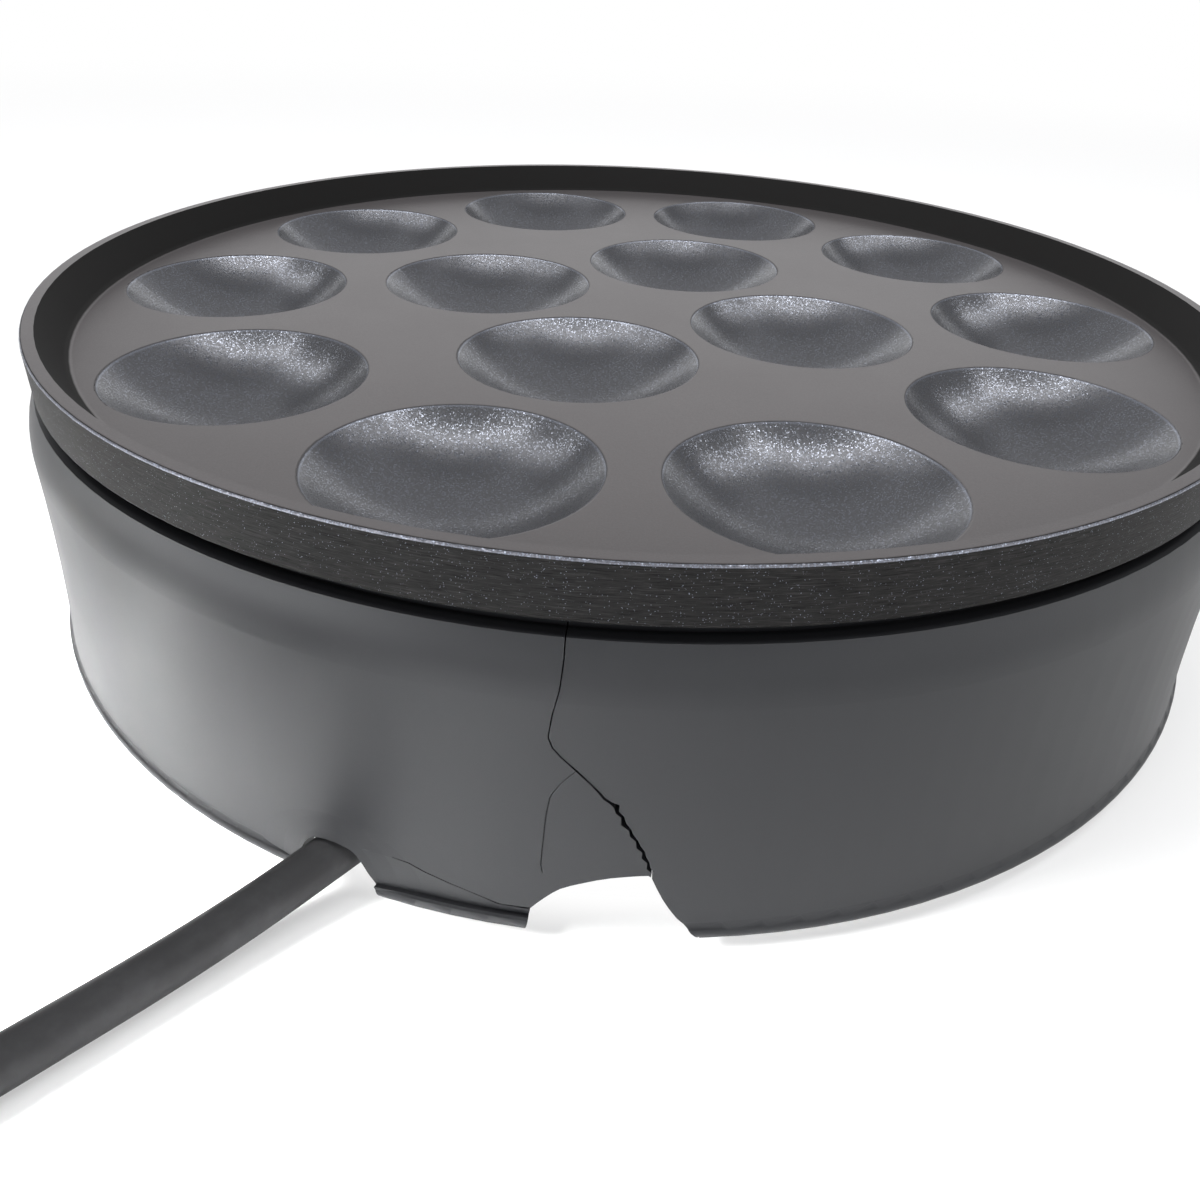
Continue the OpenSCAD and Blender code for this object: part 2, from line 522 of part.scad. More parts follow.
module housing_shell() {
    arch_hood();
    rotate_extrude($fn = 180) housing_outline();
    for (a = post_angles) rotate([0, 0, a]) stand(post_r, post_d, post_low_z, shield_z);
    for (a = base_boss_angles) rotate([0, 0, a]) stand(base_boss_r, base_boss_d, flange_top, base_boss_top);
    for (x = [-bracket_x, bracket_x]) forwards(x, control_z, bracket_y - bracket_t) cylinder(sqrt(pow(front_in_r + wall_t/2, 2) - x*x) + bracket_y - bracket_t, r = 4, $fn = 48);
}
module housing_sound() difference() {
    housing_shell();
    for (a = post_angles) at_angle(a, post_r) translate([0, 0, post_low_z - 1]) cylinder(shield_z - post_low_z + 2, r = m4_r + bore_gap);
    for (a = base_boss_angles) at_angle(a, base_boss_r) translate([0, 0, flange_top - 1]) cylinder(11, r = tap_r + fit_gap, $fn = 48);
    for (x = [-bracket_x, bracket_x]) forwards(x, control_z, bracket_y - bracket_t + 1) cylinder(7, r = tap_r + fit_gap, $fn = 48);
    forwards(0, control_z, -(front_in_r - 6)) cylinder(20, r = 9);
    for (x = [-lamp_x, lamp_x]) forwards(x, control_z, -(front_in_r - 20)) cylinder(30, r = 5);
    for (x = [-panel_screw_x, panel_screw_x]) forwards(x, panel_screw_z, -(front_in_r - 6)) cylinder(20, r = m3_r + bore_gap, $fn = 48);
    at_angle(cord_angle) outwards(drum_r + 20, base_out_r + 8) translate([0, edge_z]) polygon(smooth(arch_outline, 3));
}
// what is taken off the face of the loose strip: it leans in below its crack
module strip_lean() difference() {
    outwards(drum_r + 20, base_out_r + 8) translate([0, edge_z]) polygon(concat([for (q = strip_path) [q.x, q.y]], strip_low));
    translate([wall_r(edge_z + strip_pivot, 0), 0, edge_z + strip_pivot]) rotate([0, strip_tilt, 0]) translate([-wall_r(edge_z + strip_pivot, 0), 0, -edge_z - strip_pivot]) {
        rotate_extrude($fn = 180) wall_outline(0, edge_z - 5, ledge_z);
        rotate([0, 0, -strip_angle]) arch_hood();
    }
}
module housing() color([0.1, 0.1, 0.11]) difference() {
    housing_sound();
    if (housing_damage) {
        at_angle(damage_angle) outwards(drum_r + 15, base_out_r + 8) translate([0, edge_z]) {
            polygon(break_outline);
            polygon(outline(crack_path));
        }
        at_angle(damage_angle) difference() {
            outwards(drum_r + 25, base_out_r + 8) translate([0, edge_z]) polygon(outline(hair_path));
            rotate_extrude($fn = 180) wall_outline(hair_depth, edge_z - 5, ledge_z);
        }
        at_angle(strip_angle) {
            outwards(drum_r + 20, base_out_r + 8) translate([0, edge_z]) polygon(outline(strip_path));
            strip_lean();
        }
    }
}

// Base
flange_r = wall_r(flange_top, wall_t) - flange_gap;
foot_places = [for (a = [40, 140, 220, 320]) (drum_r - 20)*[cos(a), sin(a)]];
module base_cover() color([0.12, 0.12, 0.13]) difference() {
    union() {
        rotate_extrude($fn = 180) polygon([[0, foot_h], [drum_r, foot_h], [drum_r, flange_z], [flange_r, flange_z], [flange_r, flange_top], [drum_r - base_t, flange_top], [drum_r - base_t, base_floor], [0, base_floor]]);
        on_cord(-6.5) cylinder(gland_boss + 6.5, r = 6, $fn = 64);
        for (k = [-1, 1]) translate([along(clamp_s).x + k*clamp_peg*cord_side.x, along(clamp_s).y + k*clamp_peg*cord_side.y, foot_h]) cylinder(clamp_z - foot_h, r = 3.5, $fn = 48);
    }
    on_cord(-10) cylinder(30, r = cord_r + 1, $fn = 64);
    for (k = [-1, 1]) translate([along(clamp_s).x + k*clamp_peg*cord_side.x, along(clamp_s).y + k*clamp_peg*cord_side.y, base_floor + 0.5]) cylinder(20, r = m3_r + fit_gap, $fn = 32);
    for (a = base_boss_angles) at_angle(a, base_boss_r) translate([0, 0, flange_z - 1]) cylinder(base_t + 2, r = tap_r + bore_gap, $fn = 48);
    for (p = foot_places) translate([p.x, p.y, 0]) cylinder(base_floor + 1, r = 3, $fn = 48);
    for (a = [0 : 30 : 330]) at_angle(a, 46) translate([0, 0, foot_h - 1]) {
        translate([0, -1.5, 0]) cube([20, 3, base_t + 2]);
        cylinder(base_t + 2, r = 1.5, $fn = 32);
        translate([20, 0, 0]) cylinder(base_t + 2, r = 1.5, $fn = 32);
    }
}
module base_screws() color([0.6, 0.6, 0.61]) for (a = base_boss_angles) at_angle(a, base_boss_r) difference() {
    union() {
        translate([0, 0, flange_z - 2.4]) cylinder(2.4, r = 3.4, $fn = 48);
        translate([0, 0, flange_z - 1]) cylinder(base_t + 1 + 9, r = tap_r, $fn = 48);
    }
    translate([-4, -0.5, flange_z - 3]) cube([8, 1, 1.8]);
}
module foot(k) color([0.16, 0.16, 0.16]) translate([foot_places[k].x, foot_places[k].y, 0]) rotate_extrude($fn = 64) difference() {
    union() {
        square([foot_d/2, foot_h]);
        translate([0, foot_h - 0.5]) square([3 - fit_gap, base_t + 1]);
        translate([0, base_floor]) square([4, 2.2]);
    }
    round_off([foot_d/2, 0], 90, 0.8);
}
module foot_1() foot(0);
module foot_2() foot(1);
module foot_3() foot(2);
module foot_4() foot(3);

// Control
module rounded(w, h, r) {
    square([w - 2*r, h], center = true);
    square([w, h - 2*r], center = true);
    for (x = [-1, 1]) for (y = [-1, 1]) translate([x*(w/2 - r), y*(h/2 - r)]) circle(r, $fn = 64);
}
module housing_solid() rotate_extrude($fn = 180) wall_outline(-seat_gap, edge_z, ledge_z);
module control_panel() color([0.13, 0.13, 0.14]) difference() {
    union() {
        difference() {
            union() {
                forwards(0, control_z, panel_y + 30) linear_extrude(28.8) rounded(panel_w, panel_h, 8);
                forwards(0, control_z, panel_y + 2) linear_extrude(2) rounded(panel_w - 2.4, panel_h - 2.4, 7);
            }
            forwards(0, control_z, panel_y + 40) linear_extrude(40 - panel_t) rounded(panel_w - 2*panel_t, panel_h - 2*panel_t, 6);
        }
        for (x = [-panel_screw_x, panel_screw_x]) forwards(x, panel_screw_z, panel_y + 20) cylinder(19, r = 3, $fn = 48);
    }
    housing_solid();
    forwards(0, control_z, panel_y + 10) cylinder(20, r = shaft_r + 1.5, $fn = 64);
    for (x = [-lamp_x, lamp_x]) forwards(x, control_z, panel_y + 10) cylinder(20, r = 3.5, $fn = 64);
    for (x = [-panel_screw_x, panel_screw_x]) forwards(x, panel_screw_z, panel_y + 30) cylinder(30 - panel_t + 0.8, r = m3_r + fit_gap, $fn = 48);
}
module panel_screws() color([0.6, 0.6, 0.61]) for (x = [-panel_screw_x, panel_screw_x]) {
    forwards(x, panel_screw_z, -(panel_screw_y - 2.3)) cylinder(2.3, r = 2.7, $fn = 48);
    forwards(x, panel_screw_z, -(panel_screw_y - 1)) cylinder(wall_t + 5.5, r = m3_r, $fn = 48);
}
module thermostat_body() color([0.85, 0.82, 0.74]) difference() {
    union() {
        translate([-thermostat_w/2, bracket_y, control_z - thermostat_h/2]) cube([thermostat_w, thermostat_l, thermostat_h]);
        forwards(0, control_z, bracket_y + 1) cylinder(1 + bracket_t + 5.5, r = bush_r, $fn = 64);
    }
    forwards(0, control_z, bracket_y + 8) cylinder(40, r = shaft_r + run_gap, $fn = 64);
}
module thermostat_bracket() color([0.72, 0.73, 0.74]) difference() {
    translate([-bracket_w/2, bracket_y - bracket_t, control_z - bracket_h/2]) cube([bracket_w, bracket_t, bracket_h]);
    forwards(0, control_z, bracket_y + 5) cylinder(10, r = bush_r + seat_gap, $fn = 64);
    for (x = [-bracket_x, bracket_x]) forwards(x, control_z, bracket_y + 5) cylinder(10, r = tap_r + bore_gap, $fn = 48);
}
module bracket_screws() color([0.6, 0.6, 0.61]) for (x = [-bracket_x, bracket_x]) {
    forwards(x, control_z, bracket_y + 2.2) cylinder(2.2, r = 3, $fn = 48);
    forwards(x, control_z, bracket_y + 1) cylinder(1 + bracket_t + 5, r = tap_r, $fn = 48);
}
module thermostat_nut() color([0.75, 0.7, 0.5]) difference() {
    forwards(0, control_z, bracket_y - bracket_t) cylinder(3, r = 6.9, $fn = 6);
    forwards(0, control_z, bracket_y + 5) cylinder(20, r = bush_r + fit_gap, $fn = 64);
}
shaft_flat = 1;
module thermostat_shaft() color([0.8, 0.8, 0.8]) difference() {
    forwards(0, control_z, bracket_y + 6) cylinder(bracket_y + 6 - knob_front_y - 5, r = shaft_r, $fn = 64);
    translate([-5, knob_front_y, control_z + shaft_r - shaft_flat]) cube([10, knob_h - 1, 5]);
}
module control_knob() color([0.08, 0.08, 0.085]) difference() {
    union() {
        translate([0, 0, control_z]) rotate([90, 0, 0]) rotate_extrude($fn = 96) difference() {
            translate([0, -knob_back_y]) square([knob_d/2, knob_h]);
            translate([knob_d/2 - 2.4, -knob_back_y + 3]) square([4, knob_h]);
            round_off([knob_d/2 - 2.4, -knob_front_y], 180, 1.2);
            round_off([knob_d/2, -knob_back_y + 3], 180, 0.8);
            translate([0, -knob_back_y - 1]) square([knob_d/2 - 5, 5]);
        }
        forwards(0, control_z, knob_back_y) cylinder(6, r = shaft_r + 2.5, $fn = 64);
    }
    difference() {
        forwards(0, control_z, knob_back_y + 1) cylinder(knob_h - 4, r = shaft_r + fit_gap, $fn = 64);
        translate([-5, knob_front_y, control_z + shaft_r - shaft_flat + fit_gap]) cube([10, knob_h - 1, 5]);
    }
    for (a = [0 : 12 : 348]) translate([0, 0, control_z]) rotate([0, a, 0]) translate([0, knob_back_y - 3.6, knob_d/2 - 2]) rotate([90, 0, 0]) cylinder(knob_h, r = 0.7, $fn = 24);
    translate([-0.9, knob_front_y - 1, pointer_z]) cube([1.8, 1.6, pointer_l]);
}
module knob_pointer() color([0.93, 0.93, 0.93]) translate([-0.9 + fit_gap, knob_front_y - 0.05, pointer_z + fit_gap]) cube([1.8 - 2*fit_gap, 0.65, pointer_l - 2*fit_gap]);
module lens(x) difference() {
    union() {
        forwards(x, control_z, panel_y + panel_t + 1.2) cylinder(1.2, r = 4.8, $fn = 64);
        forwards(x, control_z, panel_y + panel_t + 0.5) cylinder(panel_t + 0.5 + 1.2, r = 3.5 - fit_gap, $fn = 64);
    }
    forwards(x, control_z, panel_y + 10) cylinder(10 - 0.4, r = 2.6, $fn = 64);
}
module lamp(x) {
    forwards(x, control_z, -(front_in_r - 12)) cylinder(-panel_y - (front_in_r - 12) - 1, r = 2.3, $fn = 48);
    forwards(x, control_z, -(front_in_r - 16)) cylinder(6, r = 3.2, $fn = 48);
}
module lens_power() color([0.85, 0.12, 0.08]) lens(-lamp_x);
module lens_ready() color([0.15, 0.65, 0.2]) lens(lamp_x);
module lamp_power() color([0.95, 0.75, 0.6]) lamp(-lamp_x);
module lamp_ready() color([0.95, 0.75, 0.6]) lamp(lamp_x);

// Sensor
module sensor_bulb() color([0.75, 0.45, 0.3]) rotate([0, 0, sensor_a]) translate([sensor_out_r - 36, 0, sensor_z]) rotate([0, 90, 0]) cylinder(36, d = sensor_d, $fn = 48);
module sensor_clip() color([0.62, 0.62, 0.63]) sensor_place() difference() {
    strap(sensor_d, 6, sensor_tab, 3, sensor_boss);
    translate([-sensor_tab, 0, -sensor_boss]) clamp_hole();
}
function polar(r, a, z) = [r*cos(a), r*sin(a), z];
sensor_tube_points = [polar(sensor_out_r, sensor_a, sensor_z), polar(sensor_out_r + 1.4, sensor_a, sensor_z - 0.3), polar(sensor_drop_r, sensor_a, sensor_z - 3), polar(sensor_drop_r, sensor_a, shield_z + 2), polar(sensor_drop_r, sensor_a, shield_z - 4), polar(sensor_drop_r, sensor_a, control_z - 2), polar(sensor_drop_r - 2, sensor_a - 1, control_z - 6), [thermostat_w/2 + 8, bracket_y + 10, control_z - 6], [thermostat_w/2 + 3, bracket_y + 10, control_z - 6], [thermostat_w/2 + wire_gap, bracket_y + 10, control_z - 6]];
module sensor_tube() color([0.75, 0.45, 0.3]) wire(sensor_tube_points, 1.8);

// Inner electrics
module thermal_fuse() color([0.85, 0.85, 0.87]) translate([fuse_p.x, fuse_p.y - fuse_l/2, fuse_z]) rotate([-90, 0, 0]) cylinder(fuse_l, d = fuse_d, $fn = 48);
module fuse_clip() color([0.62, 0.62, 0.63]) translate([fuse_p.x, fuse_p.y, shield_z]) {
    difference() {
        strap(fuse_d, 5, 9);
        translate([-9, 0, 0]) clamp_hole();
    }
    translate([-9, 0, -clamp_t - 1.2]) cylinder(1.2 + clamp_t, r = m3_r + 0.6, $fn = 32);
}
module terminal_block() color([0.9, 0.89, 0.84]) translate([block_p.x - block_size.x/2, block_p.y - block_size.y/2, base_floor]) difference() {
    cube(block_size);
    for (k = [0 : 2]) translate([7 + 10*k, block_size.y/2, block_size.z - 4]) cylinder(6, r = 2.6, $fn = 32);
    for (k = [0, 1]) translate([11 + 10*k, -1, block_size.z - 5]) cube([2, block_size.y + 2, 6]);
}
module terminal_screws() color([0.78, 0.76, 0.6]) for (k = [0 : 2]) translate([block_p.x - block_size.x/2 + 7 + 10*k, block_p.y, base_floor + block_size.z - 4]) difference() {
    cylinder(3, r = 2.4, $fn = 32);
    translate([-3, -0.4, 2]) cube([6, 0.8, 2]);
}
module earth_screw() color([0.8, 0.74, 0.45]) translate([earth_p.x, earth_p.y, shield_z]) {
    translate([0, 0, -0.8]) cylinder(0.8, r = 4, $fn = 48);
    translate([0, 0, -3]) cylinder(2.6, r = 2.8, $fn = 48);
}
// point on the block: column 0 to 2, side 1 for the back and -1 for the front
function block_point(k, side) = [block_p.x - block_size.x/2 + 7 + 10*k, block_p.y + side*(block_size.y/2 + wire_gap), base_floor + 4];
function near(p, d) = [p.x + d.x, p.y + d.y, p.z + d.z];
cord_face = [along(inner_end).x - wire_gap*cord_out.x, along(inner_end).y - wire_gap*cord_out.y, gland_z];
function core(k) = [cord_face.x + k*cord_side.x, cord_face.y + k*cord_side.y, cord_face.z];
function core_out(k, d) = near(core(k), [-d*cord_out.x, -d*cord_out.y, 0]);
tab_low = leg_low_z - 12;
module wire_live() color([0.45, 0.25, 0.12]) wire([core(-2.4), core_out(-2.5, 2), core_out(-4, 8), near(block_point(0, 1), [0, 14, 0.5]), near(block_point(0, 1), [0, 6, 0]), block_point(0, 1)], 1.9);
module wire_neutral() color([0.15, 0.3, 0.65]) wire([core(0), core_out(0, 2), core_out(0, 8), near(block_point(1, 1), [2, 16, 0.5]), near(block_point(1, 1), [0, 6, 0]), block_point(1, 1)], 1.9);
module wire_earth() color([0.45, 0.6, 0.15]) wire([core(2.4), core_out(2.5, 2), core_out(4.5, 8), [-24, 46, 16], [-16, 36, 26], [earth_p.x, earth_p.y + 9, shield_z - 4], [earth_p.x, earth_p.y + 5.3, shield_z - 1.8], [earth_p.x, earth_p.y + 4.2 + wire_gap, shield_z - 2]], 1.9);
module wire_supply() color([0.45, 0.25, 0.12]) wire([block_point(0, -1), near(block_point(0, -1), [0, -6, 0]), [-60, -10, base_floor + 8], [-66, -42, base_floor + 12], [-46, -80, flange_top + 4], [-thermostat_w/2 - 10, bracket_y + 13, control_z - 5], [-thermostat_w/2 - 4, bracket_y + 12, control_z - 5], [-thermostat_w/2 - wire_gap, bracket_y + 12, control_z - 5]]);
module wire_switched() color([0.6, 0.12, 0.1]) wire([[-6, bracket_y + thermostat_l + wire_gap, control_z], [-6, bracket_y + thermostat_l + 6, control_z], [-7, -75, control_z + 3], [-10, -57, fuse_z], [fuse_p.x, fuse_p.y - fuse_l/2 - 4, fuse_z], [fuse_p.x, fuse_p.y - fuse_l/2 - wire_gap, fuse_z]]);
module wire_fused() color([0.6, 0.12, 0.1]) wire([[fuse_p.x, fuse_p.y + fuse_l/2 + wire_gap, fuse_z], [fuse_p.x, fuse_p.y + fuse_l/2 + 4, fuse_z], [-14, -24, fuse_z - 4], [-30, -26, tab_low + 2], [leg_xy(-1).x + 6, leg_xy(-1).y + 6, tab_low - 4], [leg_xy(-1).x, leg_xy(-1).y, tab_low - 4], [leg_xy(-1).x, leg_xy(-1).y, tab_low - wire_gap]]);
module wire_return() color([0.15, 0.3, 0.65]) wire([[leg_xy(1).x, leg_xy(1).y, tab_low - wire_gap], [leg_xy(1).x, leg_xy(1).y, tab_low - 4], [leg_xy(1).x + 6, leg_xy(1).y + 8, tab_low - 8], [-22, -16, base_floor + 5], near(block_point(2, -1), [0, -8, 0]), block_point(2, -1)]);
module lamp_wire(side) wire([[side*(thermostat_w/2 + wire_gap), bracket_y + 5, control_z + 5], [side*(thermostat_w/2 + 4), bracket_y + 5, control_z + 5], [side*(lamp_x - 4), bracket_y + 13, control_z + 3], [side*lamp_x, -(front_in_r - 20), control_z], [side*lamp_x, -(front_in_r - 16 - wire_gap), control_z]], 1.8);
module wire_lamp_power() color([0.6, 0.12, 0.1]) lamp_wire(-1);
module wire_lamp_ready() color([0.6, 0.12, 0.1]) lamp_wire(1);

// Cord
module cord_gland() color([0.1, 0.1, 0.1]) difference() {
    union() {
        on_cord(gland_back) cylinder(gland_boss - gland_back + 1, r = cord_r + 1 - fit_gap, $fn = 64);
        on_cord(gland_boss) cylinder(gland_collar - gland_boss, r = 6, $fn = 64);
        on_cord(gland_collar - 1) cylinder(gland_tail - gland_collar + 1, r1 = 5.7, r2 = cord_r + 0.9, $fn = 64);
    }
    on_cord(gland_back - 1) cylinder(gland_tail - gland_back + 2, r = cord_r + fit_gap, $fn = 64);
}
module cord_inner() color([0.13, 0.13, 0.13]) on_cord(inner_end) cylinder(gland_tail - inner_end, r = cord_r, $fn = 64);
module cord_clamp() color([0.2, 0.2, 0.21]) translate([along(clamp_s).x, along(clamp_s).y, clamp_z]) rotate([0, 0, cord_heading]) difference() {
    translate([-4, -clamp_peg - 4, 0]) cube([8, 2*clamp_peg + 8, 3.5]);
    for (k = [-1, 1]) translate([0, k*clamp_peg, -1]) cylinder(6, r = m3_r + bore_gap, $fn = 32);
}
module cord_clamp_screws() color([0.7, 0.7, 0.7]) for (k = [-1, 1]) translate([along(clamp_s).x + k*clamp_peg*cord_side.x, along(clamp_s).y + k*clamp_peg*cord_side.y, clamp_z + 3.5]) {
    cylinder(2.2, r = 2.7, $fn = 32);
    translate([0, 0, base_floor + 1.5 - clamp_z - 3.5]) cylinder(clamp_z + 3.5 - base_floor - 1, r = m3_r, $fn = 32);
}
module cord_lead() color([0.13, 0.13, 0.13]) tube(lead_points, cord_d, 12);
module cord_coil() color([0.13, 0.13, 0.13]) tube(coil_points, cord_d, 6);
module cord_tie() color([0.3, 0.3, 0.3]) {
    tie_t0 = coil_from - tie_a;
    r_out = coil_at(tie_t0) + cord_r + tie_gap;
    r_in = coil_at(tie_t0 + 360) - cord_r - tie_gap;
    low = coil_low_z - cord_r - tie_gap;
    top = coil_low_z + coil_pitch + cord_r + tie_gap;
    translate([coil_c.x, coil_c.y, 0]) rotate([0, 0, tie_a]) rotate([90, 0, 0]) translate([0, 0, -tie_w/2]) linear_extrude(tie_w) difference() {
        translate([r_in - tie_t, low - tie_t]) square([r_out - r_in + 2*tie_t, top - low + 2*tie_t]);
        translate([r_in, low]) square([r_out - r_in, top - low]);
    }
}
module on_plug(s) translate([plug_p.x + s*end_dir.x, plug_p.y + s*end_dir.y, plug_z]) rotate([0, 0, end_heading]) rotate([0, 90, 0]) children();
module plug_body() color([0.1, 0.1, 0.1]) difference() {
    union() {
        on_plug(0) cylinder(17, r1 = cord_r + 0.9, r2 = 6.4, $fn = 64);
        on_plug(16) cylinder(15, r1 = 9, r2 = 13, $fn = 64);
        on_plug(30) cylinder(17, r = plug_r, $fn = 96);
    }
    for (k = [-1, 1]) on_plug(38) translate([0, k*9.5, 0]) cylinder(20, r = 2.4 + fit_gap, $fn = 48);
    for (k = [-1, 1]) on_plug(39) translate([k*(plug_r - 1) - 2.5, -3, 0]) cube([5, 6, 20]);
}
module plug_pins() color([0.8, 0.78, 0.72]) {
    for (k = [-1, 1]) on_plug(38 + seat_gap) translate([0, k*9.5, 0]) cylinder(9 + 19, r = 2.4, $fn = 48);
    for (k = [-1, 1]) on_plug(39 + seat_gap) translate([k*(plug_r - 2.8) - 0.6, -2.6, 0]) cube([1.2, 5.2, 7]);
}

module in_frame() translate([0, frame_y, 0]) children();
in_frame() baking_plate();
in_frame() heating_element();
in_frame() element_insulators();
in_frame() element_terminals();
in_frame() element_clamps();
in_frame() clamp_screws();
in_frame() heat_shield();
in_frame() plate_spacers();
in_frame() plate_screws();
in_frame() housing();
in_frame() base_cover();
in_frame() base_screws();
in_frame() foot_1();
in_frame() foot_2();
in_frame() foot_3();
in_frame() foot_4();
in_frame() control_panel();
in_frame() panel_screws();
in_frame() thermostat_body();
in_frame() thermostat_bracket();
in_frame() bracket_screws();
in_frame() thermostat_nut();
in_frame() thermostat_shaft();
in_frame() control_knob();
in_frame() knob_pointer();
in_frame() sensor_bulb();
in_frame() sensor_clip();
in_frame() sensor_tube();
in_frame() lens_power();
in_frame() lens_ready();
in_frame() lamp_power();
in_frame() lamp_ready();
in_frame() thermal_fuse();
in_frame() fuse_clip();
in_frame() terminal_block();
in_frame() terminal_screws();
in_frame() earth_screw();
in_frame() wire_live();
in_frame() wire_neutral();
in_frame() wire_earth();
in_frame() wire_supply();
in_frame() wire_switched();
in_frame() wire_fused();
in_frame() wire_return();
in_frame() wire_lamp_power();
in_frame() wire_lamp_ready();
in_frame() cord_gland();
in_frame() cord_inner();
in_frame() cord_clamp();
in_frame() cord_clamp_screws();
in_frame() cord_lead();
in_frame() cord_coil();
in_frame() cord_tie();
in_frame() plug_body();
in_frame() plug_pins();
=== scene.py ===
"""Looks of the poffertjes maker: finishes for its pieces, the free cord, the dial and the studio."""

import json
import math

import bmesh
import bpy
from bpy.props import FloatProperty, FloatVectorProperty, IntProperty, PointerProperty
from mathutils import Matrix, Vector


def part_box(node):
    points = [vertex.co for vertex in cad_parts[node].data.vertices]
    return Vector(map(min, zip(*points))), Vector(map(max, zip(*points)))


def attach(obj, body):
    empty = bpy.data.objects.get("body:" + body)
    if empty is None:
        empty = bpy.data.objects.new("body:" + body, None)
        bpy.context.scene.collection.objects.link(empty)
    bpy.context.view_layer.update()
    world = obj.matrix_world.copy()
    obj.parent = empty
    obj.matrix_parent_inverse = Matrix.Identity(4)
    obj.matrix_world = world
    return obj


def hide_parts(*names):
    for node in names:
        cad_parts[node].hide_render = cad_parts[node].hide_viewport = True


bl_info = {
    "name": "Poffertjes Maker",
    "version": (1, 0, 0),
    "blender": (4, 5, 0),
    "location": "View3D > Sidebar > Poffertjes",
    "description": "Dresses the packed model of a poffertjes maker",
    "category": "Object",
}

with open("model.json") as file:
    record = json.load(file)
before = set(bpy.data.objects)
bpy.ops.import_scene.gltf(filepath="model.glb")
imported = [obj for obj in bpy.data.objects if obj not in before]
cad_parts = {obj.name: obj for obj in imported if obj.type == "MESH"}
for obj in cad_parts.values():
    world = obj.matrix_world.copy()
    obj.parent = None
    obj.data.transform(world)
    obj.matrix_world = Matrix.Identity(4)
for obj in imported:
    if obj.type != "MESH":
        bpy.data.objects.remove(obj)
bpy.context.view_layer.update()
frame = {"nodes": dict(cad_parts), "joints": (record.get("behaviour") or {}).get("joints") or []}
NODES = frame["nodes"]
BODY = "appliance"

# Places on the baking plate that the finishes and the lights need, in metres
PLATE_LOW, PLATE_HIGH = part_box("baking_plate")
RIM_HEIGHT, RIM_WIDTH = 0.0067, 0.0065
PLATE_Y = (PLATE_LOW.y + PLATE_HIGH.y)/2
PLATE_R = (PLATE_HIGH.x - PLATE_LOW.x)/2
RIM_Z = PLATE_HIGH.z
FLOOR_Z = RIM_Z - RIM_HEIGHT
FLOOR_R = PLATE_R - RIM_WIDTH


class Socket:
    """One value in a node tree, which Python's operators can work with."""

    def __init__(self, nodes, socket):
        self.nodes, self.socket = nodes, socket

    def maths(self, operation, *others):
        return self.nodes.add("Math", {"operation": operation}, [self, *others])

    def __add__(self, other):
        return self.maths("ADD", other)

    __radd__ = __add__

    def __sub__(self, other):
        return self.maths("SUBTRACT", other)

    def __rsub__(self, other):
        return self.nodes.add("Math", {"operation": "SUBTRACT"}, [other, self])

    def __mul__(self, other):
        return self.maths("MULTIPLY", other)

    __rmul__ = __mul__

    def __pow__(self, other):
        return self.maths("POWER", other)

    def rise(self, low, high):
        """0 below low, 1 above high and a smooth step between; low may be the larger."""
        return self.nodes.add("MapRange", {"interpolation_type": "SMOOTHSTEP"}, [self, low, high, 0.0, 1.0])


class Nodes:
    """A node tree under construction."""

    def __init__(self, tree):
        self.tree = tree
        tree.nodes.clear()

    def add(self, kind, settings=None, inputs=(), output=0):
        """Adds a node, sets it up, fills or links its inputs by place or name, and gives one output."""
        node = self.tree.nodes.new("ShaderNode" + kind)
        for name, value in (settings or {}).items():
            setattr(node, name, value)
        pairs = inputs.items() if isinstance(inputs, dict) else enumerate(inputs)
        for key, value in pairs:
            if isinstance(value, Socket):
                self.tree.links.new(value.socket, node.inputs[key])
            elif value is not None:
                node.inputs[key].default_value = value
        return Socket(self, node.outputs[output]) if node.outputs else None

    def mix(self, share, first, second):
        """Colour between two colours."""
        first, second = (c if isinstance(c, Socket) else (*c, 1) for c in (first, second))
        return self.add("Mix", {"data_type": "RGBA"}, {0: share, 6: first, 7: second}, 2)

    def vector(self, operation, first, second):
        return self.add("VectorMath", {"operation": operation}, [first, second])

    def place(self):
        """Where a point is on the part, in metres."""
        return self.add("TexCoord", output="Object")

    def split(self, vector):
        return [self.add("SeparateXYZ", None, [vector], k) for k in range(3)]

    def noise(self, where, scale, detail=3.0, roughness=0.55):
        values = {"Vector": where, "Scale": scale, "Detail": detail, "Roughness": roughness}
        return self.add("TexNoise", None, values)

    def stretched(self, where, scales):
        return self.vector("MULTIPLY", where, scales)

    def cells(self, where, scale):
        """A colour for each cell of a scattered pattern."""
        return self.add("TexVoronoi", None, {"Vector": where, "Scale": scale}, "Color")

    def bump(self, height, distance, strength=1.0, normal=None):
        values = {"Height": height, "Distance": distance, "Strength": strength, "Normal": normal}
        return self.add("Bump", None, values)


def finish(name, build, **constants):
    """Material whose varying sockets come from build(nodes) and whose other sockets are constants."""
    material = bpy.data.materials.new(name)
    material.use_nodes = True
    nodes = Nodes(material.node_tree)
    sockets = {key.replace("_", " ").title().replace("Ior", "IOR"): value for key, value in constants.items()}
    sockets.update(build(nodes))
    shader = nodes.add("BsdfPrincipled", None, sockets)
    nodes.add("OutputMaterial", None, {"Surface": shader})
    return material


def dress(material, *names):
    """Gives a material to CAD nodes."""
    for name in names:
        slots = NODES[name].data.materials
        slots.clear()
        slots.append(material)


def shade(colour, factor):
    return tuple(c*factor for c in colour)


def from_axis(x, y):
    """Distance from the upright line through the middle of the baking plate."""
    return (x*x + (y - PLATE_Y)*(y - PLATE_Y))**0.5


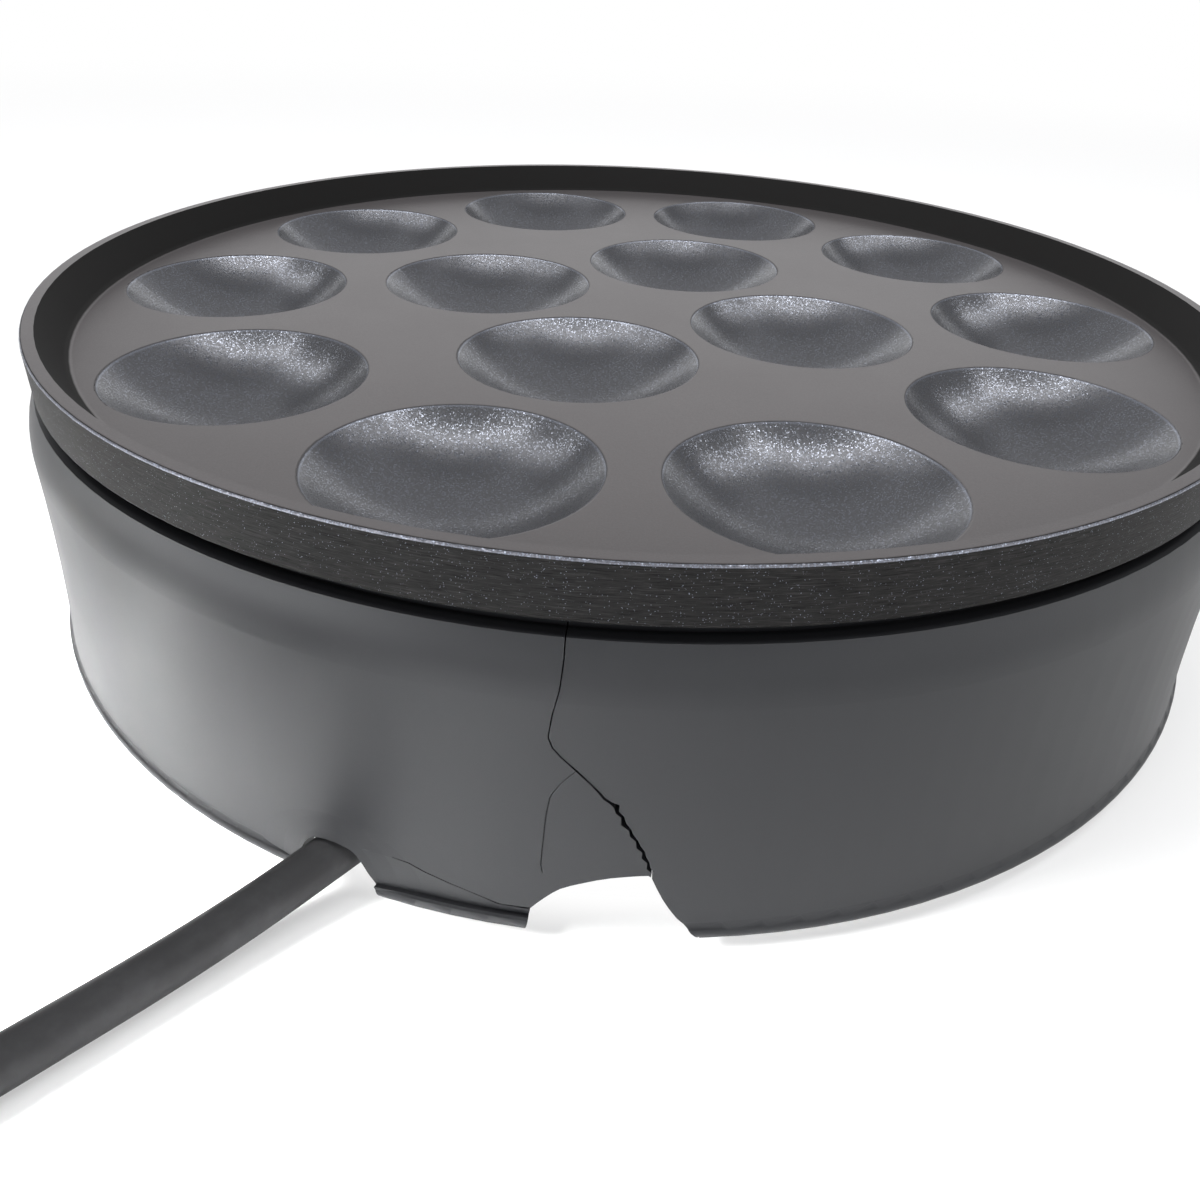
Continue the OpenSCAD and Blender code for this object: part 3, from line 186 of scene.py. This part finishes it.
def coating(look):
    """Non-stick coating of the baking plate.

    The floor is satin, the cavities are flaked with a painted highlight round their tops, the rim's
    outer top edge is worn bright metal with a painted highlight, and the walls are coloured far darker
    than the floor as painted shade, with turned lines on the outer one.
    """
    def build(n):
        where = n.place()
        x, y, z = n.split(where)
        radius = from_axis(x, y)
        facing = n.add("NewGeometry", output="Normal")
        dish = z.rise(FLOOR_Z - 0.00003, FLOOR_Z - 0.0002)*radius.rise(FLOOR_R, FLOOR_R - 0.002)
        # A painted highlight along the top of each cavity
        lip_painted_highlight = dish*z.rise(FLOOR_Z - 0.0005, FLOOR_Z - 0.0002)
        level = n.split(facing)[2].rise(0.9, 0.99)*(1 - dish)
        # The rim's outer top edge: worn bright metal, lightened as a painted highlight as well
        edge = radius.rise(PLATE_R - 0.00032, PLATE_R - 0.00024)*z.rise(RIM_Z - 0.0005, RIM_Z - 0.0004)
        wall = (1 - level)*(1 - dish)*(1 - edge)
        skirt = radius.rise(PLATE_R - 0.0005, PLATE_R - 0.0001)*(1 - edge)
        # Flakes of metal: each cell has its own tilt, some are bright, and few show on the outer wall
        cell = n.cells(where, 1/look.flake)
        bright = n.split(cell)[2].rise(0.62, 0.95)
        speck = skirt*n.split(n.cells(where, 2.1/look.flake))[2].rise(0.986, 0.998)
        spread = dish*(0.045 + 0.07*bright) + edge*0.5 + speck*0.5 + level*0.04
        lean = n.vector("SUBTRACT", cell, (0.5, 0.5, 0.5))
        tilt = n.add("VectorMath", {"operation": "SCALE"}, {0: lean, "Scale": spread})
        normal = n.add("VectorMath", {"operation": "NORMALIZE"}, [n.vector("ADD", facing, tilt)])
        # Lines left by the lathe on the outer edge
        lines = n.noise(n.stretched(where, (300, 300, 5200)), 1.0, 3.0, 0.65)
        grain = n.noise(where, 2600, 2.0)
        mottle = n.noise(where, 60, 4.0)
        colour = n.mix(dish, look.floor_colour[:], look.dish_colour[:])
        # Painted shade: the rim walls and the outer edge take a far darker colour than the floor
        colour = n.mix(wall, colour, look.shaded_wall_colour[:])
        colour = n.mix(skirt*lines.rise(0.5, 0.7), colour, shade(look.shaded_wall_colour, 2.4))
        colour = n.mix(skirt*lines.rise(0.45, 0.34), colour, shade(look.shaded_wall_colour, 0.15))
        # Towards the flake colour: real flakes and specks, and painted highlights on the cavities' tops and
        # the rim's edge
        flakes_and_painted_highlights = 0.15*bright*dish + 0.15*lip_painted_highlight + (0.2 + 0.4*bright)*edge + 0.4*speck
        colour = n.mix(flakes_and_painted_highlights, colour, look.flake_colour[:])
        outside = 0.75*wall - 0.2*skirt - 0.2*speck
        return {
            "Base Color": colour,
            "Metallic": 0.35*level + (0.5 + 0.35*bright)*dish + 0.8*edge + 0.8*speck,
            "Roughness": 0.42*level + (0.28 - 0.08*bright)*dish + 0.32*edge + outside + 0.06*(mottle - 0.5),
            "Normal": n.bump(lines*skirt + grain*0.25, 0.00006, 0.6, normal),
        }
    return finish("nonstick_coating", build, ior=1.22)


def moulded(name, colour, roughness, grain=0.00025, depth=0.00002):
    """Moulded plastic: fine texture from the tool, soft change of gloss and a little dust."""
    def build(n):
        where = n.place()
        texture = n.noise(where, 1/grain, 2.0)
        cloud = n.noise(where, 45, 4.0)
        dust = n.noise(where, 900, 3.0, 0.7).rise(0.62, 0.8)*n.noise(where, 25, 2.0).rise(0.45, 0.7)
        clouded = n.mix(cloud, shade(colour, 0.9), shade(colour, 1.12))
        return {
            "Base Color": n.mix(dust*0.25, clouded, shade(colour, 2.4)),
            "Roughness": roughness + 0.1*(cloud - 0.5) + 0.08*dust,
            "Normal": n.bump(texture, depth, 0.5),
        }
    return finish(name, build, ior=1.44, specular_tint=(0.96, 0.98, 1, 1))


def rubber(name, colour, roughness=0.62):
    """Matt rubber with a fine grain and pale bloom."""
    def build(n):
        where = n.place()
        grain = n.noise(where, 3500, 3.0, 0.6)
        bloom = n.noise(where, 120, 4.0, 0.65)
        return {
            "Base Color": n.mix(bloom.rise(0.4, 0.75), colour, shade(colour, 1.5)),
            "Roughness": roughness + 0.14*(bloom - 0.5),
            "Normal": n.bump(grain, 0.00003, 0.6),
        }
    return finish(name, build, ior=1.3)


def metal(name, colour, roughness, streaks=(400, 400, 4000), tarnish=0.3):
    """Plated or bare metal with drawn streaks and some tarnish."""
    def build(n):
        where = n.place()
        drawn = n.noise(n.stretched(where, streaks), 1.0, 3.0, 0.6)
        spots = n.noise(where, 180, 4.0, 0.6).rise(0.45, 0.75)
        streaked = n.mix(drawn, shade(colour, 0.85), shade(colour, 1.1))
        return {
            "Base Color": n.mix(spots*tarnish, streaked, shade(colour, 0.5)),
            "Roughness": roughness + 0.15*(drawn - 0.5) + 0.15*spots,
            "Normal": n.bump(drawn, 0.00002, 0.5),
        }
    return finish(name, build, metallic=1.0)


def ceramic(name, colour):
    """Unglazed ceramic with fine specks."""
    def build(n):
        where = n.place()
        specks = n.noise(where, 2200, 2.0).rise(0.62, 0.72)
        cloud = n.noise(where, 70, 3.0)
        return {
            "Base Color": n.mix(specks*0.5, n.mix(cloud, shade(colour, 0.92), colour), shade(colour, 0.6)),
            "Roughness": 0.6 + 0.2*(cloud - 0.5),
            "Normal": n.bump(specks, 0.00004, 0.5),
        }
    return finish(name, build)


def lens(name, colour):
    """Clear coloured lens with a faint ripple."""
    def build(n):
        where = n.place()
        ripple = n.noise(where, 1200, 2.0)
        return {
            "Base Color": n.mix(ripple, colour, shade(colour, 1.2)),
            "Roughness": 0.12 + 0.1*ripple,
            "Normal": n.bump(ripple, 0.00005, 0.4),
        }
    return finish(name, build, transmission_weight=0.55, ior=1.49)


# What the colours and the lengths among the settings have in common
COLOUR = {"subtype": "COLOR", "size": 3, "min": 0, "max": 1}
LENGTH = {"subtype": "DISTANCE", "unit": "LENGTH"}


class PlateLook(bpy.types.PropertyGroup):
    """Coating of the baking plate."""
    floor_colour: FloatVectorProperty(
        name="Floor", description="Colour of the satin floor",
        **COLOUR, default=(0.1, 0.093, 0.0948))
    dish_colour: FloatVectorProperty(
        name="Cavities", description="Colour inside the cavities",
        **COLOUR, default=(0.09, 0.0905, 0.097))
    # Darker than the floor, as painted shade on the rim walls and the outer edge
    shaded_wall_colour: FloatVectorProperty(
        name="Walls", description="Colour of the rim and the outer edge",
        **COLOUR, default=(0.0098, 0.0094, 0.0093))
    flake_colour: FloatVectorProperty(
        name="Flakes", description="Colour of the metal flakes",
        **COLOUR, default=(0.47, 0.52, 0.64))
    flake: FloatProperty(
        name="Flake size", description="Distance between flakes",
        **LENGTH, default=0.0002, min=0.0001)


class HousingLook(bpy.types.PropertyGroup):
    """Plastic of the housing, base and controls."""
    colour: FloatVectorProperty(
        name="Housing", description="Colour of the housing",
        **COLOUR, default=(0.0138, 0.0142, 0.0162))
    roughness: FloatProperty(
        name="Roughness", description="Roughness of the housing",
        default=0.46, min=0, max=1)


class CordLook(bpy.types.PropertyGroup):
    """The free cord."""
    diameter: FloatProperty(
        name="Diameter", description="Diameter of the cord",
        **LENGTH, default=0.0074)
    coil_radius: FloatProperty(
        name="Coil radius", description="Radius of the outer turn of the put-away cord",
        **LENGTH, default=0.045)
    coil_turns: FloatProperty(name="Turns", description="Turns of the put-away cord", default=3.375)
    colour: FloatVectorProperty(
        name="Colour", description="Colour of the rubber",
        **COLOUR, default=(0.03, 0.03, 0.0315))


class DialLook(bpy.types.PropertyGroup):
    """Marks around the control knob."""
    ticks: IntProperty(name="Ticks", description="Number of marks", default=19, min=2)
    colour: FloatVectorProperty(
        name="Colour", description="Colour of the marks",
        **COLOUR, default=(0.75, 0.75, 0.74))


class StageLook(bpy.types.PropertyGroup):
    """Camera, lights, floor and surroundings."""
    lens: FloatProperty(
        name="Lens", description="Focal length of the camera",
        subtype="DISTANCE_CAMERA", default=30.47)
    top_light: FloatProperty(
        name="Top light", description="Power of the light above",
        subtype="POWER", default=5.6)
    arch_light: FloatProperty(
        name="Arch lights", description="Power of each of the lights beside the one above",
        subtype="POWER", default=1.5)
    back_light: FloatProperty(
        name="Back light", description="Power of the high light behind the part",
        subtype="POWER", default=4.5)
    side_light: FloatProperty(
        name="Side light", description="Power of the light on the cord's side",
        subtype="POWER", default=12.0)
    far_side_light: FloatProperty(
        name="Far side light", description="Power of the light across from the cord's side",
        subtype="POWER", default=2.0)
    front_light: FloatProperty(
        name="Front light", description="Power of the low light behind the camera",
        subtype="POWER", default=7.0)
    horizon_light: FloatProperty(
        name="Horizon light", description="Power of the low light behind the part",
        subtype="POWER", default=10.0)
    pool_light: FloatProperty(
        name="Pool light", description="Power of the light on the floor beside the cord",
        subtype="POWER", default=1.0)
    air: FloatVectorProperty(
        name="Surroundings", description="Colour of the surroundings",
        **COLOUR, default=(0.25, 0.255, 0.265))


LOOKS = {"plate": PlateLook, "housing": HousingLook, "cord": CordLook, "dial": DialLook, "stage": StageLook}


def look(name):
    return getattr(bpy.context.scene, "poffertjes_" + name)


def new_piece(name, mesh, material, body):
    piece = bpy.data.objects.new(name, mesh)
    bpy.context.scene.collection.objects.link(piece)
    mesh.materials.append(material)
    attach(piece, body)
    return piece


# Camera, from a fit to the rim, the cavities and the outer edge
CAMERA_PLACE = Vector((-0.0688, 0.2318, 0.1304))
CAMERA_HEADING, CAMERA_PITCH, CAMERA_ROLL = math.radians(-71.36), 0.5835, 0.048
# Level directions that the lights are set out by: away from the camera, and to its left
AWAY = Vector((math.cos(CAMERA_HEADING), math.sin(CAMERA_HEADING), 0))
LEFT = Vector((-AWAY.y, AWAY.x, 0))
UP = Vector((0, 0, 1))


def add_camera(settings):
    data = bpy.data.cameras.new("photo_camera")
    data.lens, data.sensor_width = settings.lens, 36
    data.clip_start, data.clip_end = 0.005, 60
    ahead = AWAY*math.cos(CAMERA_PITCH) - UP*math.sin(CAMERA_PITCH)
    right = -LEFT
    above = right.cross(ahead)
    turned_right = right*math.cos(CAMERA_ROLL) + above*math.sin(CAMERA_ROLL)
    turned_up = above*math.cos(CAMERA_ROLL) - right*math.sin(CAMERA_ROLL)
    camera = bpy.data.objects.new("photo_camera", data)
    bpy.context.scene.collection.objects.link(camera)
    camera.location = CAMERA_PLACE
    camera.rotation_euler = Matrix((turned_right, turned_up, -ahead)).transposed().to_euler()
    bpy.context.scene.camera = camera


def add_light(name, place, size, power, aim=Vector(), spread=180, along=LEFT):
    """Lamp at a place that faces a point, both measured from the middle of the plate's rim.

    Its length lies along a direction.
    """
    data = bpy.data.lights.new(name, "AREA")
    data.shape, data.size, data.size_y = "RECTANGLE", *size
    data.energy, data.spread = power, math.radians(spread)
    lamp = bpy.data.objects.new(name, data)
    bpy.context.scene.collection.objects.link(lamp)
    lamp.location = Vector((0, PLATE_Y, RIM_Z)) + place
    back = (place - aim).normalized()
    side = (along - back*along.dot(back)).normalized()
    lamp.rotation_euler = Matrix((side, back.cross(side), back)).transposed().to_euler()
    return lamp


# The studio's floor, in metres: its radius, how far it lies below the feet, and where its parts shade over
STUDIO_R, STUDIO_DROP = 14, 0.0002
# Beneath the part the floor is painted plain white over its shadow: painted light
PAINTED_LIGHT_UNDER_PART = 0.134, 0.12
PLAIN_WHITE = 0.4, 1.1
SURROUNDINGS = 7.0, 13.5


def floor_material(air):
    """White to the eye and in reflections, fading into the surroundings far off.

    It shows the shadow round the part and is plain white at a distance; beneath the part its shadow
    is painted over with plain white, which is painted light.
    """
    material = bpy.data.materials.new("studio_floor")
    material.use_nodes = True
    n = Nodes(material.node_tree)
    x, y, _ = n.split(n.place())
    distance = (x*x + y*y)**0.5
    rays = ("Is Camera Ray", "Is Glossy Ray", "Is Transmission Ray")
    seen = [n.add("LightPath", output=ray) for ray in rays]
    shown = seen[0].maths("MAXIMUM", seen[1]).maths("MAXIMUM", seen[2])
    lit = n.add("BsdfDiffuse", None, {"Color": (0.55, 0.55, 0.55, 1)})
    glow = n.add("Emission", None, {"Color": (1, 1, 1, 1), "Strength": 0.41})
    white = n.add("Emission", None, {"Color": (1, 1, 1, 1), "Strength": 1.0})
    haze = n.add("Emission", None, {"Color": (*air, 1), "Strength": 1.0})
    # Painted light: plain white beneath the part, where its shadow would fall
    painted_light_under = from_axis(x, y).rise(*PAINTED_LIGHT_UNDER_PART)
    near = n.add("MixShader", None, [painted_light_under, n.add("AddShader", None, [lit, glow]), white])
    pale = n.add("MixShader", None, [distance.rise(*PLAIN_WHITE), near, white])
    pale = n.add("MixShader", None, [distance.rise(*SURROUNDINGS), pale, haze])
    plain = n.add("BsdfDiffuse", None, {"Color": (0.8, 0.8, 0.8, 1)})
    n.add("OutputMaterial", None, {"Surface": n.add("MixShader", None, [shown, plain, pale])})
    return material


def add_floor(material):
    mesh = bpy.data.meshes.new("studio_floor")
    sheet = bmesh.new()
    bmesh.ops.create_circle(sheet, cap_ends=True, segments=96, radius=STUDIO_R)
    sheet.to_mesh(mesh)
    sheet.free()
    mesh.materials.append(material)
    floor = bpy.data.objects.new("studio_floor", mesh)
    floor.location.z = -STUDIO_DROP
    bpy.context.scene.collection.objects.link(floor)
    return floor


class POFFERTJES_OT_stage(bpy.types.Operator):
    """Make the camera, the lights, the floor and the surroundings"""
    bl_idname = "poffertjes.stage"
    bl_label = "Stage"

    def execute(self, context):
        settings = look("stage")
        add_camera(settings)
        add_light("top_light", UP*0.9 - AWAY*0.16, (1.3, 0.1), settings.top_light)
        for name, side in (("left", LEFT), ("right", -LEFT)):
            add_light("arch_light_" + name, side*0.6 + AWAY*0.15 + UP*0.72, (0.65, 0.13), settings.arch_light,
                      along=side*0.35 + AWAY*0.5 - UP*0.35)
        add_light("back_light", AWAY*1.0 + UP*1.0, (1.7, 1.4), settings.back_light)
        add_light("side_light", LEFT*1.17 - AWAY*0.5 + UP*0.14, (1.5, 0.38), settings.side_light)
        add_light("far_side_light", -LEFT*0.8 - AWAY*0.35 + UP*0.15, (0.9, 0.45), settings.far_side_light)
        add_light("front_light", LEFT*0.1 + UP*0.2 - AWAY*1.1, (3.0, 0.55), settings.front_light)
        add_light("horizon_light", AWAY*1.5 + UP*0.3, (3.0, 0.9), settings.horizon_light)
        # A pool of light on the floor alone, which the housing's wall mirrors
        pool = LEFT*0.14 - AWAY*0.125 - UP*RIM_Z
        pool_light = add_light("pool_light", LEFT*0.3 - AWAY*0.16 + UP*0.1, (0.16, 0.16),
                               settings.pool_light, pool, 50)
        lit_by_pool = bpy.data.collections.new("lit_by_pool")
        lit_by_pool.objects.link(add_floor(floor_material(settings.air[:])))
        pool_light.light_linking.receiver_collection = lit_by_pool
        world = bpy.data.worlds.new("studio")
        world.use_nodes = True
        context.scene.world = world
        n = Nodes(world.node_tree)
        air = n.add("Background", None, {"Color": (*settings.air, 1), "Strength": 1.0})
        n.add("OutputWorld", None, {"Surface": air})
        context.scene.view_settings.view_transform = "Standard"
        return {"FINISHED"}


# The cord's route, in metres: the free stretch from the mouth of its gland, with heights above lying flat
CORD_MOUTH = Vector((-0.002787, 0.124135, 0))
CORD_HEADING = math.radians(64.1)
GLAND_Z = 0.0081
CORD_ROUTE = ((0, 0, 0.0044), (0.0035, 0.0072, 0.0044), (0.007, 0.0144, 0.0033),
              (0.0105, 0.0216, 0.0021), (0.0149, 0.0306, 0.0009), (0.0201, 0.0414, 0.0002),
              (0.0262, 0.054, 0.0001), (0.0332, 0.0684, 0.0002), (0.0402, 0.0828, 0.0007),
              (0.0463, 0.0953, 0.0011), (0.0495, 0.1019, 0.0011))
# The put-away turns: room between them, height above the floor, the run to the plug and the plug's middle
COIL_GAP, COIL_LIFT, END_RUN, PLUG_Z = 0.0007, 0.0011, 0.036, 0.0192
STEPS_A_TURN, END_STEPS = 24, 6


def cord_points(cord):
    """Points along the cord: the free stretch, two layers of turns in and out, and the rise to the plug."""
    thick = cord.diameter
    points = [CORD_MOUTH + Vector((x, y, GLAND_Z if k < 2 else thick/2 + z))
              for k, (x, y, z) in enumerate(CORD_ROUTE)]
    out = Vector((math.cos(CORD_HEADING), math.sin(CORD_HEADING), 0))
    side = Vector((out.y, -out.x, 0))
    middle = points[-1] + thick*out + cord.coil_radius*side
    pitch, sweep = thick + COIL_GAP, 2*math.pi*cord.coil_turns
    start = CORD_HEADING + math.pi/2
    steps = round(STEPS_A_TURN*cord.coil_turns)
    for k in range(steps + 1):
        turn = sweep*k/steps
        radius = cord.coil_radius - pitch*min(turn, sweep - turn)/(2*math.pi)
        u = min(max((turn - sweep/2 + math.pi/2)/math.pi, 0), 1)
        height = thick/2 + COIL_LIFT + pitch*u*u*(3 - 2*u)
        angle = start - turn
        points.append(Vector((middle.x + radius*math.cos(angle), middle.y + radius*math.sin(angle), height)))
    last, heading = points[-1].copy(), start - sweep - math.pi/2
    ahead = Vector((math.cos(heading), math.sin(heading), 0))
    for k in range(1, END_STEPS + 1):
        u = k/END_STEPS
        rise = (PLUG_Z - last.z)*(1 - math.cos(math.pi*u))/2
        points.append(last + ahead*(END_RUN*u) + UP*rise)
    points.append(points[-1] + ahead*thick)
    return points


class POFFERTJES_OT_cord(bpy.types.Operator):
    """Make the free cord with its put-away turns, and finish the gland, the tie and the plug"""
    bl_idname = "poffertjes.cord"
    bl_label = "Cord"

    def execute(self, context):
        settings = look("cord")
        points = cord_points(settings)
        line = bpy.data.curves.new("mains_cord", "CURVE")
        line.dimensions = "3D"
        line.bevel_depth, line.bevel_resolution = settings.diameter/2, 6
        line.resolution_u, line.use_fill_caps = 4, True
        spline = line.splines.new("BEZIER")
        spline.bezier_points.add(len(points) - 1)
        for knot, point in zip(spline.bezier_points, points):
            knot.co = point
            knot.handle_left_type = knot.handle_right_type = "AUTO"
        black = rubber("cord_rubber", settings.colour[:])
        cord = new_piece("mains_cord", line, black, BODY)
        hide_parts("cord_lead", "cord_coil")
        length = sum((b - a).length for a, b in zip(points, points[1:]))
        dress(black, "cord_gland", "cord_inner")
        dress(rubber("plug_rubber", (0.035, 0.035, 0.036), 0.5), "plug_body")
        dress(moulded("tie_plastic", (0.1, 0.1, 0.1), 0.5), "cord_tie")
        dress(metal("plug_brass", (0.72, 0.6, 0.34), 0.25, tarnish=0.15), "plug_pins")
        return {"FINISHED"}


class POFFERTJES_OT_plate(bpy.types.Operator):
    """Finish the baking plate"""
    bl_idname = "poffertjes.plate"
    bl_label = "Baking plate"

    def execute(self, context):
        dress(coating(look("plate")), "baking_plate")
        return {"FINISHED"}


class POFFERTJES_OT_housing(bpy.types.Operator):
    """Finish the housing, the base and the feet"""
    bl_idname = "poffertjes.housing"
    bl_label = "Housing"

    def execute(self, context):
        settings = look("housing")
        colour = settings.colour[:]
        dress(moulded("housing_plastic", colour, settings.roughness), "housing")
        dress(moulded("base_plastic", shade(colour, 1.2), 0.5, 0.0004), "base_cover", "cord_clamp")
        dress(rubber("foot_rubber", (0.05, 0.05, 0.05)), "foot_1", "foot_2", "foot_3", "foot_4")
        return {"FINISHED"}


# The dial's marks, in metres: where they start, how far they reach, their back and front from the panel's
# face, and half the width of the first one and what the last one has more
MARK_R, LONG_MARK, SHORT_MARK = 0.0178, 0.003, 0.0018
MARK_BACK, MARK_FACE = 0.00004, -0.00006
THIN_MARK, MARK_GROWTH = 0.00022, 0.0004
DIAL_DEGREES = 270


def dial_mesh(ticks):
    """Thin printed marks round the knob, wider towards full heat, with each third one longer."""
    middle = frame["joints"][0]["pos_m"]
    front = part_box("control_panel")[0].y
    mesh = bpy.data.meshes.new("dial_marks")
    sheet = bmesh.new()
    for k in range(ticks):
        turn = math.radians(DIAL_DEGREES*k/(ticks - 1))
        inner, outer = MARK_R, MARK_R + (LONG_MARK if k % 3 == 0 else SHORT_MARK)
        half = THIN_MARK + MARK_GROWTH*(k/(ticks - 1))
        across = Vector((math.cos(turn), 0, -math.sin(turn)))
        out = Vector((math.sin(turn), 0, math.cos(turn)))
        base = Vector((middle[0], front, middle[2]))
        outline = ((inner, -half), (outer, -half), (outer, half), (inner, half))
        faces = []
        for depth in (MARK_BACK, MARK_FACE):
            corners = [base + out*r + across*h + Vector((0, depth, 0)) for r, h in outline]
            faces.append([sheet.verts.new(c) for c in corners])
        back, face = faces
        sheet.faces.new(face)
        sheet.faces.new(list(reversed(back)))
        for a in range(4):
            b = (a + 1) % 4
            sheet.faces.new((back[a], back[b], face[b], face[a]))
    bmesh.ops.recalc_face_normals(sheet, faces=sheet.faces)
    sheet.to_mesh(mesh)
    sheet.free()
    return mesh


class POFFERTJES_OT_controls(bpy.types.Operator):
    """Finish the control panel, the knob and the lamps, and add the marks of the dial"""
    bl_idname = "poffertjes.controls"
    bl_label = "Controls"

    def execute(self, context):
        settings = look("housing")
        colour = settings.colour[:]
        dress(moulded("panel_plastic", shade(colour, 1.15), 0.42), "control_panel")
        dress(moulded("knob_plastic", shade(colour, 0.8), 0.32), "control_knob")
        white = moulded("white_print", look("dial").colour[:], 0.45)
        dress(white, "knob_pointer")
        new_piece("dial_marks", dial_mesh(look("dial").ticks), white, BODY)
        dress(lens("red_lens", (0.7, 0.05, 0.03)), "lens_power")
        dress(lens("green_lens", (0.05, 0.45, 0.1)), "lens_ready")
        dress(lens("lamp_glass", (0.85, 0.7, 0.55)), "lamp_power", "lamp_ready")
        return {"FINISHED"}


# Wires by the colour of their sheath
SHEATHS = (
    ("brown_sheath", (0.2, 0.08, 0.03), ("wire_live", "wire_supply")),
    ("blue_sheath", (0.03, 0.1, 0.4), ("wire_neutral", "wire_return")),
    ("earth_sheath", (0.25, 0.4, 0.04), ("wire_earth",)),
    ("red_sheath", (0.42, 0.03, 0.025),
     ("wire_switched", "wire_fused", "wire_lamp_power", "wire_lamp_ready")),
)


class POFFERTJES_OT_inside(bpy.types.Operator):
    """Finish the heating, the thermostat, the wiring and the screws"""
    bl_idname = "poffertjes.inside"
    bl_label = "Inside"

    def execute(self, context):
        dress(metal("plated_steel", (0.55, 0.55, 0.56), 0.32),
              "element_clamps", "clamp_screws", "plate_spacers", "plate_screws", "base_screws",
              "panel_screws", "thermostat_bracket", "bracket_screws", "thermostat_shaft", "sensor_clip",
              "thermal_fuse", "fuse_clip", "cord_clamp_screws")
        dress(metal("shield_steel", (0.6, 0.61, 0.62), 0.4, (60, 3000, 60)), "heat_shield")
        dress(metal("sheath_steel", (0.24, 0.21, 0.2), 0.45, tarnish=0.6), "heating_element")
        dress(metal("brass", (0.72, 0.6, 0.32), 0.3),
              "element_terminals", "thermostat_nut", "terminal_screws", "earth_screw")
        dress(metal("copper", (0.72, 0.4, 0.26), 0.3), "sensor_bulb", "sensor_tube")
        dress(ceramic("ceramic", (0.82, 0.79, 0.72)),
              "element_insulators", "thermostat_body", "terminal_block")
        for name, colour, wires in SHEATHS:
            dress(moulded(name, colour, 0.4, 0.0006), *wires)
        return {"FINISHED"}


class POFFERTJES_PT_panel(bpy.types.Panel):
    """The steps of the build, in order"""
    bl_idname = "POFFERTJES_PT_panel"
    bl_label = "Poffertjes Maker"
    bl_space_type = "VIEW_3D"
    bl_region_type = "UI"
    bl_category = "Poffertjes"

    def draw(self, context):
        for step in STEPS:
            self.layout.operator(step.bl_idname)


STEPS = (POFFERTJES_OT_stage, POFFERTJES_OT_cord, POFFERTJES_OT_plate, POFFERTJES_OT_housing,
         POFFERTJES_OT_controls, POFFERTJES_OT_inside)
CLASSES = (*LOOKS.values(), *STEPS, POFFERTJES_PT_panel)


def register():
    for kind in CLASSES:
        bpy.utils.register_class(kind)
    for name, kind in LOOKS.items():
        setattr(bpy.types.Scene, "poffertjes_" + name, PointerProperty(type=kind))


def unregister():
    for name in LOOKS:
        delattr(bpy.types.Scene, "poffertjes_" + name)
    for kind in reversed(CLASSES):
        bpy.utils.unregister_class(kind)


def main():
    register()
    for step in STEPS:
        getattr(bpy.ops.poffertjes, step.bl_idname.split(".")[1])()
    bpy.context.view_layer.update()


if __name__ == "__main__":
    main()
